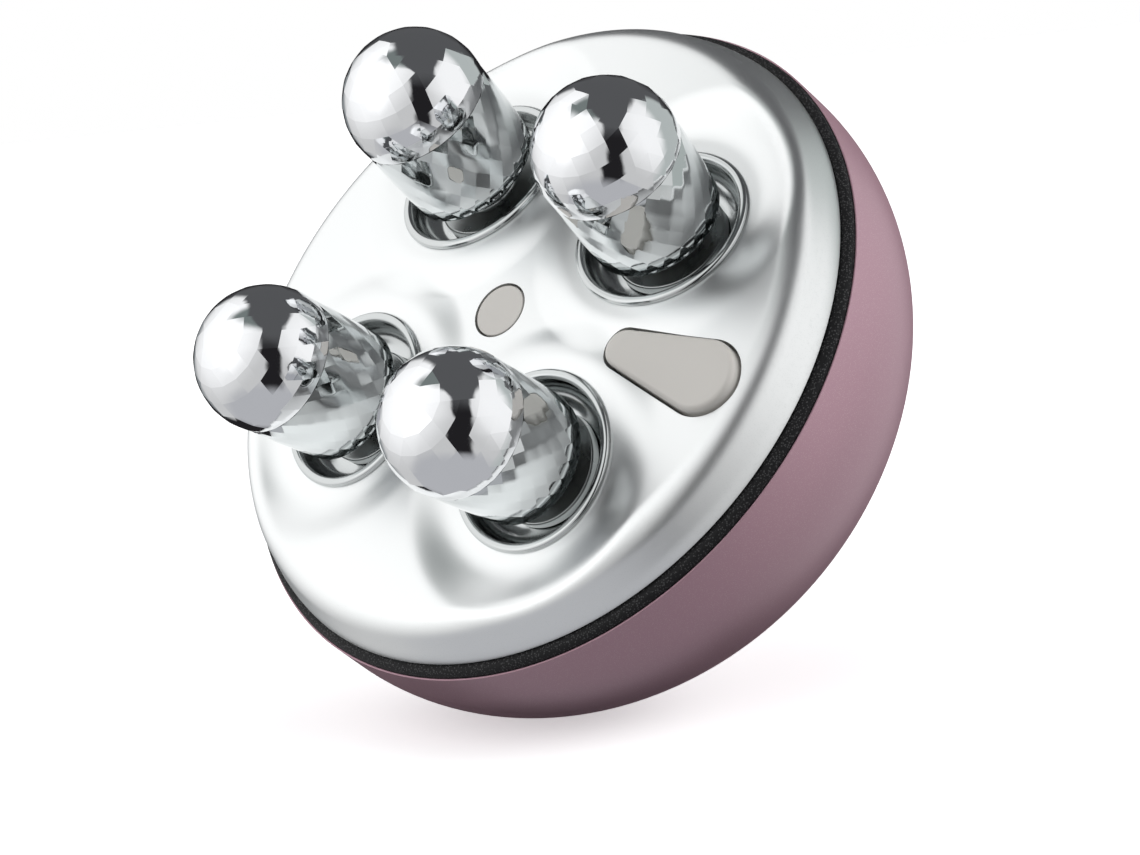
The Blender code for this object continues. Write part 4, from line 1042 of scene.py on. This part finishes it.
def divided_triangles(triangles, count):
    """Each triangle as a mesh of count squared small ones: p = a + (b - a) i / n + (c - a) j / n."""
    i, j = np.meshgrid(np.arange(count + 1), np.arange(count + 1), indexing='ij')
    inside = i + j <= count
    number = np.full(i.shape, -1)
    number[inside] = np.arange(inside.sum())
    weights = np.stack([1 - (i + j)[inside] / count, i[inside] / count, j[inside] / count], -1)
    points = np.einsum('kc,tcx->tkx', weights, triangles)
    here, right, above, across = number[:-1, :-1], number[1:, :-1], number[:-1, 1:], number[1:, 1:]
    up = (i + j < count)[:-1, :-1]
    down = (i + j < count - 1)[:-1, :-1]
    small = np.concatenate([np.stack([here[up], right[up], above[up]], -1),
                            np.stack([right[down], across[down], above[down]], -1)])
    return points, (np.arange(len(triangles))[:, None, None] * inside.sum() + small[None]).reshape(-1, 3)


def bulged(points):
    """Moves points of the flat facets towards the ball by a share of the way."""
    out = points - np.array([0, 0, HEAD_HEIGHT])
    ball = out / np.linalg.norm(out, axis=-1, keepdims=True) * ROLLER_RADIUS
    return points + (ball - out) * CAP_BULGE_SHARE


def diamond_cap(number, matrix):
    """The divided facets, and rings underneath for the spigot and the hollow."""
    corners = head_points()
    facets, small = divided_triangles(corners[hull_triangles(corners)], PATCH)
    edge = bulged(divided_ring(corners[:FACETS_ROUND], PATCH))
    spigot = CAP_BOTTOM - SPIGOT_LENGTH
    roof = CAP_BOTTOM + ROOF_HEIGHT
    under = rings_at(np.arctan2(edge[:, 1], edge[:, 0]),
                     [(SPIGOT_OUTER, CAP_BOTTOM), (SPIGOT_OUTER, spigot), (SPIGOT_INNER, spigot),
                      (SPIGOT_INNER, roof - ROOF_FALL), (ROOF_RADIUS, roof), (0, roof)])
    rows = np.concatenate([edge[None], under])
    points, faces = gathered([(bulged(facets), small), (rows, grid_faces(len(rows), len(edge)))])
    return mesh_piece("diamond_cap_%d" % number, moved(points, matrix), faces, CAP_SHARP_DEG)


for number, matrix in enumerate(STATIONS, 1):
    roller = "roller_%d" % number
    dress(diamond_body(number, matrix), roller, BODY_CHROME, "chrome", "roller_body_%d" % number)
    dress(diamond_cap(number, matrix), roller, CHROME, "chrome", "roller_cap_%d" % number)

# %% [markdown]
# ## The power button
# The button is a stack of teardrops: a flange that holds it under the plate, straight sides, a
# quarter round along the top edge, and then ever smaller teardrops that end on the line between
# the two circles' middles. Its top leans with the plate and is slightly crowned.

# %% Build the button
BUTTON_ROUND = 0.0007
BUTTON_ROUND_ROWS = 9
BUTTON_PROUD = 0.0010
BUTTON_FLANGE = 0.0010
BUTTON_FLANGE_WIDTH = 0.0008
BUTTON_CROWN = 0.00010
BUTTON_TOP_ROWS = 10
BUTTON_TOP_SHARE = 0.9
BUTTON_TILT_DEG = 4.5
BUTTON_SLOPE = math.tan(math.radians(BUTTON_TILT_DEG))
BUTTON_MIDDLE = (TIP_X + END_X) / 2
BUTTON_SHARP_DEG = 40


def leaning_top(x):
    """The plane of the button's top: it falls towards the edge of the plate."""
    return plate_height(BUTTON_MIDDLE) + BUTTON_PROUD - (x - BUTTON_MIDDLE) * BUTTON_SLOPE


def teardrop_button():
    """The flange, the side, the rounded edge and the crowned top, as rows of teardrops."""
    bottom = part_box("power_button")[0].z
    flange_top = bottom + BUTTON_FLANGE
    rows = [lifted(teardrop_spine(), bottom), lifted(teardrop(BUTTON_FLANGE_WIDTH), bottom),
            lifted(teardrop(BUTTON_FLANGE_WIDTH), flange_top), lifted(teardrop(), flange_top)]
    for angle in np.linspace(0, math.pi / 2, BUTTON_ROUND_ROWS):
        outline = teardrop(-BUTTON_ROUND * (1 - math.cos(angle)))
        rows.append(lifted(outline, leaning_top(outline[:, 0]) - BUTTON_ROUND * (1 - math.sin(angle))))
    for share in np.linspace(BUTTON_TOP_SHARE, 0, BUTTON_TOP_ROWS):
        outline = teardrop(0, (END_RADIUS - BUTTON_ROUND) * share, (TIP_RADIUS - BUTTON_ROUND) * share)
        rows.append(lifted(outline, leaning_top(outline[:, 0]) + BUTTON_CROWN * (1 - share ** 2)))
    points = np.array(rows)
    return mesh_piece("teardrop_button", points, grid_faces(*points.shape[:2]), BUTTON_SHARP_DEG)


dress(teardrop_button(), "button", WARM_GREY, "warm_grey", "power_button")

# %% [markdown]
# ## The lens and the charging contacts
# The indicator is a flush disc with a soft edge, and a light pipe under it. The two contacts in
# the foot are turned pins whose tips are slightly domed. Both are filleted profiles, turned.

# %% Build the lens and the contacts
LENS_RADIUS = 0.0036
LENS_EDGE_ROUND = 0.00012
LENS_DOME = 0.00004
LENS_FLANGE = 0.0008
LENS_FLANGE_WIDTH = 0.0012
LIGHT_PIPE_RADIUS = 0.0018
LENS_ROWS = 8
LENS_STEPS = 96
CONTACT_TIP_RADIUS = 0.0009
CONTACT_TIP_FALL = 0.00002
CONTACT_EDGE_FALL = 0.0002
CONTACT_FLANGE = 0.0008
CONTACT_FLANGE_WIDTH = 0.0007
CONTACT_TIP_ROUND = 0.0003
CONTACT_EDGE_ROUND = 0.0002
CONTACT_FLANGE_ROUND = 0.0001
CONTACT_FILLET_POINTS = 5


def lens_disc():
    """A slightly domed disc, its flange under the plate and the light pipe."""
    low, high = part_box("indicator_lens")
    flange = LENS_RADIUS + LENS_FLANGE_WIDTH
    flange_top = high.z - PLATE_WALL - FIT
    flange_bottom = flange_top - LENS_FLANGE
    r = np.linspace(0, LENS_RADIUS - 2 * LENS_EDGE_ROUND, LENS_ROWS)
    crown = np.stack([r, high.z - LENS_DOME * (r / LENS_RADIUS) ** 2], -1)
    edge = filleted([tuple(crown[-1]), (LENS_RADIUS, high.z - LENS_DOME), (LENS_RADIUS, flange_top)],
                    [0, LENS_EDGE_ROUND, 0])[1:]
    foot = [(flange, flange_top), (flange, flange_bottom), (LIGHT_PIPE_RADIUS, flange_bottom),
            (LIGHT_PIPE_RADIUS, low.z), (0, low.z)]
    return turned_piece("lens_disc", np.concatenate([crown, edge, foot]), LENS_STEPS)


def foot_contact(number, x):
    """A pin with a soft tip and a flange at its inner end."""
    low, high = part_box("charge_contact_%d" % number)
    flange = CONTACT_RADIUS + CONTACT_FLANGE_WIDTH
    flange_bottom = high.z - CONTACT_FLANGE
    corners = [(0, low.z), (CONTACT_TIP_RADIUS, low.z + CONTACT_TIP_FALL),
               (CONTACT_RADIUS, low.z + CONTACT_EDGE_FALL), (CONTACT_RADIUS, flange_bottom),
               (flange, flange_bottom), (flange, high.z), (0, high.z)]
    radii = [0, CONTACT_TIP_ROUND, CONTACT_EDGE_ROUND, 0, CONTACT_FLANGE_ROUND, CONTACT_FLANGE_ROUND, 0]
    profile = filleted(corners, radii, CONTACT_FILLET_POINTS)
    return turned_piece("foot_contact_%d" % number, profile, CONTACT_STEPS, Matrix.Translation((x, 0, 0)))


dress(lens_disc(), "housing", WARM_GREY, "warm_grey", "indicator_lens")
for number, x in enumerate((-CONTACT_X, CONTACT_X), 1):
    dress(foot_contact(number, x), "housing", GOLD, "gold", "charge_contact_%d" % number)

# %% [markdown]
# ## What is inside
# The inner pieces keep the shape of their solids, which is exact. They only get a finish, so that
# the object still looks right when it is taken apart.

# %% Paint the nodes that stay
INNER_FINISHES = {
    "roller_frame": WHITE_MOULDING, "battery_tray": WHITE_MOULDING, "lower_bush": WHITE_MOULDING,
    "upper_bush": WHITE_MOULDING, "switch_plunger": WHITE_MOULDING, "indicator_led": WHITE_MOULDING,
    "tact_switch": BLACK_PLASTIC, "control_chip": BLACK_PLASTIC, "strip_board": BOARD_GREEN,
    "main_board": BOARD_GREEN, "axle": STEEL, "retaining_clip": STEEL, "plate_screw": STEEL,
    "board_screw": STEEL, "contact_leaf": GOLD, "battery_cell": CELL_FOIL,
}

painted = 0
for name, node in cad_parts.items():
    for start, finish in INNER_FINISHES.items():
        if name.startswith(start):
            paint(node, finish)
            painted += 1
print("inner nodes painted:", painted)

# %% [markdown]
# ## The studio
# Chrome shows what stands round it, so the room matters as much as the metal. The photograph's
# reflections say that there were bright walls of light to the left and the right, a dark gap
# between them that runs from the floor in front, over the top and down behind, a grey patch
# overhead on the left, a greyer corner far right, and a pale table. The world holds that room as
# soft masks over directions, measured along three fixed axes. Where the camera sees it directly,
# it is plain white.

# %% Directions of the room
ROOM_RIGHT = (0.66455, 0.47848, -0.57396)
ROOM_UP = (-0.22404, 0.86035, 0.45782)
ROOM_BACK = (0.71287, -0.17565, 0.67894)


def room_axis(right, up, back):
    """A direction given in the room's own axes, of length one."""
    axis = right * Vector(ROOM_RIGHT) + up * Vector(ROOM_UP) + back * Vector(ROOM_BACK)
    return axis.normalized()


# %% [markdown]
# The walls are an even light with three brighter areas. A pair of edges says where a mask starts
# and where it is full, measured along the axis beside it or the one that ends the pair's name.

# %% Brightness, edges and tones of the room
EVEN_LIGHT = 0.66
BRIGHT_AREAS = {
    "wide_left": {"axis": (-0.85, 0.45, 0.15), "edges": (0.15, 0.92), "light": 0.60},
    "wide_right": {"axis": (0.88, 0.40, 0.25), "edges": (0.50, 0.97), "light": 0.46},
    "core_left": {"axis": (-0.887, 0.085, 0.455), "edges": (0.88, 0.97), "light": 0.20},
}

GAP_WIDENS_UP = (0.60, 0.92)
GAP_WIDENS_BACK = (0.0, -0.35)
GAP_GROWS_LEFT = 0.30
GAP_GROWS_RIGHT = 0.10
GAP_LEFT_EDGE_RIGHT = (-0.09, -0.02)
GAP_RIGHT_EDGE_RIGHT = (0.45, 0.38)
GAP_PALER_UP = (0.25, 0.60)
GAP_TONE = (0.018, 0.017, 0.019)
GAP_PALER_TONE = (0.105, 0.107, 0.112)

CORNER_RIGHT = (0.10, 0.35)
CORNER_BACK = (0.02, -0.20)
CORNER_TONE = (0.52, 0.56, 0.55)
PATCH_UP = (0.70, 0.80)
PATCH_BACK = (-0.10, 0.05)
PATCH_RIGHT = (-0.05, -0.20)
PATCH_TONE = (0.20, 0.23, 0.225)
BEHIND_BACK = (-0.76, -0.90)
BEHIND_TONE = (0.26, 0.28, 0.29)
TABLE_BELOW_UP = (-0.64, -0.80)
TABLE_REFLECTED_TONE = (0.52, 0.525, 0.55)
WHITE = (1, 1, 1)


# %% Build the world
class Room(NodeKit):
    """Masks over the directions of a world."""

    def __init__(self, world):
        world.use_nodes = True
        super().__init__(world.node_tree)
        self.background = self.nodes["Background"]
        self.place = self.nodes.new('ShaderNodeTexCoord').outputs["Generated"]
        self.right = self.along(ROOM_RIGHT)
        self.up = self.along(ROOM_UP)
        self.back = self.along(ROOM_BACK)

    def along(self, axis):
        """How far each direction points along an axis, from -1 to 1."""
        node = self.nodes.new('ShaderNodeVectorMath')
        node.operation = 'DOT_PRODUCT'
        self.link(self.place, node.inputs[0])
        node.inputs[1].default_value = axis
        return node.outputs["Value"]

    def step(self, value, edges, high=1.0):
        """A soft step from 0 at the first edge to high at the second."""
        return self.between(value, *edges, 0.0, high, 'SMOOTHSTEP')

    def chain(self, operation, values):
        """Several values in a row, such as a sum or a product."""
        whole = values[0]
        for value in values[1:]:
            whole = self.calculate(operation, whole, value)
        return whole

    def where(self, *masks):
        """The place where all of the masks are full: their product."""
        return self.chain('MULTIPLY', masks)

    def walls(self):
        """The even light plus the brighter areas, as a grey colour."""
        glows = [self.step(self.along(room_axis(*area["axis"])), area["edges"], area["light"])
                 for area in BRIGHT_AREAS.values()]
        light = self.chain('ADD', [*glows, EVEN_LIGHT])
        grey = self.nodes.new('ShaderNodeCombineColor')
        for socket in grey.inputs[:3]:
            self.link(light, socket)
        return grey.outputs[0]

    def gap(self):
        """The dark strip between the walls, which is wider overhead and behind."""
        overhead = self.step(self.up, GAP_WIDENS_UP)
        rear = self.step(self.back, GAP_WIDENS_BACK)
        wider = self.calculate('MAXIMUM', overhead, rear)
        left = self.calculate('ADD', self.right, self.calculate('MULTIPLY', wider, GAP_GROWS_LEFT))
        right = self.calculate('SUBTRACT', self.right, self.calculate('MULTIPLY', wider, GAP_GROWS_RIGHT))
        return self.where(self.step(left, GAP_LEFT_EDGE_RIGHT), self.step(right, GAP_RIGHT_EDGE_RIGHT))


def studio_world():
    """Lays the areas of the room over its walls one after the other, and shows white to the camera."""
    world = bpy.data.worlds.new("studio_room")
    bpy.context.scene.world = world
    room = Room(world)
    corner = room.where(room.step(room.right, CORNER_RIGHT), room.step(room.back, CORNER_BACK))
    patch = room.where(room.step(room.up, PATCH_UP), room.step(room.back, PATCH_BACK),
                       room.step(room.right, PATCH_RIGHT))
    behind = room.step(room.back, BEHIND_BACK)
    gap_tone = room.mix(room.step(room.up, GAP_PALER_UP), GAP_TONE, GAP_PALER_TONE)
    below = room.step(room.up, TABLE_BELOW_UP)
    seen = room.nodes.new('ShaderNodeLightPath').outputs["Is Camera Ray"]
    colour = room.walls()
    for mask, tone in ((corner, CORNER_TONE), (patch, PATCH_TONE), (behind, BEHIND_TONE),
                       (room.gap(), gap_tone), (below, TABLE_REFLECTED_TONE), (seen, WHITE)):
        colour = room.mix(mask, colour, tone)
    room.link(colour, room.background.inputs["Color"])
    print("world with", len(room.nodes), "nodes")


studio_world()

# %% [markdown]
# ## The table
# The object leans on its dome, so the table is a plane that touches the dome there. It is a plain
# pale diffuse surface with a little glow for the camera, so that its lit part meets the white
# background and only the soft contact shadow shows. From behind it is clear, so that it never
# hides the object in another view.

# %% Build the table
TABLE_UP = Vector((-0.1748, 0.7533, 0.6341)).normalized()
TABLE_POINT = Vector((0.00904, -0.03895, 0.01636))
TABLE_SIZE = 1.6
TABLE_CORNERS = [(-1, -1), (1, -1), (1, 1), (-1, 1)]
TABLE_TONE = (0.98, 0.98, 0.985)
TABLE_SHADED_TONE = (0.20, 0.20, 0.205)
TABLE_GLOW = 0.46


def table_plane():
    """A square in the plane that touches the dome."""
    side = TABLE_UP.orthogonal().normalized()
    other = TABLE_UP.cross(side)
    reach = np.array(TABLE_CORNERS) * TABLE_SIZE / 2
    points = np.array(TABLE_POINT) + reach[:, :1] * np.array(side) + reach[:, 1:] * np.array(other)
    mesh = bpy.data.meshes.new("table")
    mesh.from_pydata(points.tolist(), [], [list(range(len(points)))])
    top = bpy.data.objects.new("table", mesh)
    bpy.context.scene.collection.objects.link(top)
    return top


def table_material():
    """Pale for the camera and darker for what it lights, with a glow, and clear from behind."""
    material = bpy.data.materials.new("pale_table")
    material.use_nodes = True
    kit = NodeKit(material.node_tree)
    kit.nodes.clear()
    end = kit.nodes.new('ShaderNodeOutputMaterial')
    seen = kit.nodes.new('ShaderNodeLightPath').outputs["Is Camera Ray"]
    behind = kit.nodes.new('ShaderNodeNewGeometry').outputs["Backfacing"]
    pale = kit.nodes.new('ShaderNodeBsdfDiffuse')
    kit.link(kit.mix(seen, TABLE_SHADED_TONE, TABLE_TONE), pale.inputs["Color"])
    glow = kit.nodes.new('ShaderNodeEmission')
    kit.link(kit.calculate('MULTIPLY', seen, TABLE_GLOW), glow.inputs["Strength"])
    lit = kit.nodes.new('ShaderNodeAddShader')
    kit.link(pale.outputs[0], lit.inputs[0])
    kit.link(glow.outputs[0], lit.inputs[1])
    clear = kit.nodes.new('ShaderNodeBsdfTransparent')
    whole = kit.nodes.new('ShaderNodeMixShader')
    kit.link(kit.calculate('MULTIPLY', seen, behind), whole.inputs[0])
    kit.link(lit.outputs[0], whole.inputs[1])
    kit.link(clear.outputs[0], whole.inputs[2])
    kit.link(whole.outputs[0], end.inputs["Surface"])
    return material


table = table_plane()
table.data.materials.append(table_material())
table.visible_glossy = False

# %% [markdown]
# ## Lamps and camera
# One weak soft lamp stands overhead. A stronger one stands to the right and gives the painted dome
# its gentle highlight. Reflections don't show them, so the chrome keeps only the room's pattern. The
# camera stands where the photograph was taken from, with the same long lens and the same roll.

# %% Place the lamps
LAMP_TARGET = Vector((0, 0, 0.035))
LAMP_DISTANCE = 0.9
LAMP_SIZE = 0.6
OVERHEAD_SIDE = (-0.10, 0.95, 0.30)
OVERHEAD_POWER = 0.8
RIGHT_SIDE = (0.92, 0.45, -0.10)
RIGHT_POWER = 6.0


def soft_lamp(name, side, power):
    """A square lamp on one side of the room that faces the object and isn't seen in it."""
    data = bpy.data.lights.new(name, 'AREA')
    data.energy = power
    data.size = LAMP_SIZE
    lamp = bpy.data.objects.new(name, data)
    bpy.context.scene.collection.objects.link(lamp)
    lamp.location = LAMP_TARGET + room_axis(*side) * LAMP_DISTANCE
    lamp.rotation_euler = (LAMP_TARGET - lamp.location).to_track_quat('-Z', 'Y').to_euler()
    lamp.visible_glossy = False


soft_lamp("soft_overhead", OVERHEAD_SIDE, OVERHEAD_POWER)
soft_lamp("soft_right", RIGHT_SIDE, RIGHT_POWER)

# %% Place the camera
CAMERA_POINT = (0.416993, -0.109022, 0.427187)
CAMERA_LENS = 142.105
SENSOR_WIDTH = 36.0
NEAREST_SEEN = 0.01

camera_data = bpy.data.cameras.new("photo_camera")
camera_data.lens = CAMERA_LENS
camera_data.sensor_width = SENSOR_WIDTH
camera_data.clip_start = NEAREST_SEEN
camera = bpy.data.objects.new("photo_camera", camera_data)
bpy.context.scene.collection.objects.link(camera)
camera_turn = Matrix((ROOM_RIGHT, ROOM_UP, ROOM_BACK)).transposed().to_4x4()
camera.matrix_world = Matrix.Translation(CAMERA_POINT) @ camera_turn
bpy.context.scene.camera = camera
bpy.context.scene.view_settings.view_transform = 'Standard'
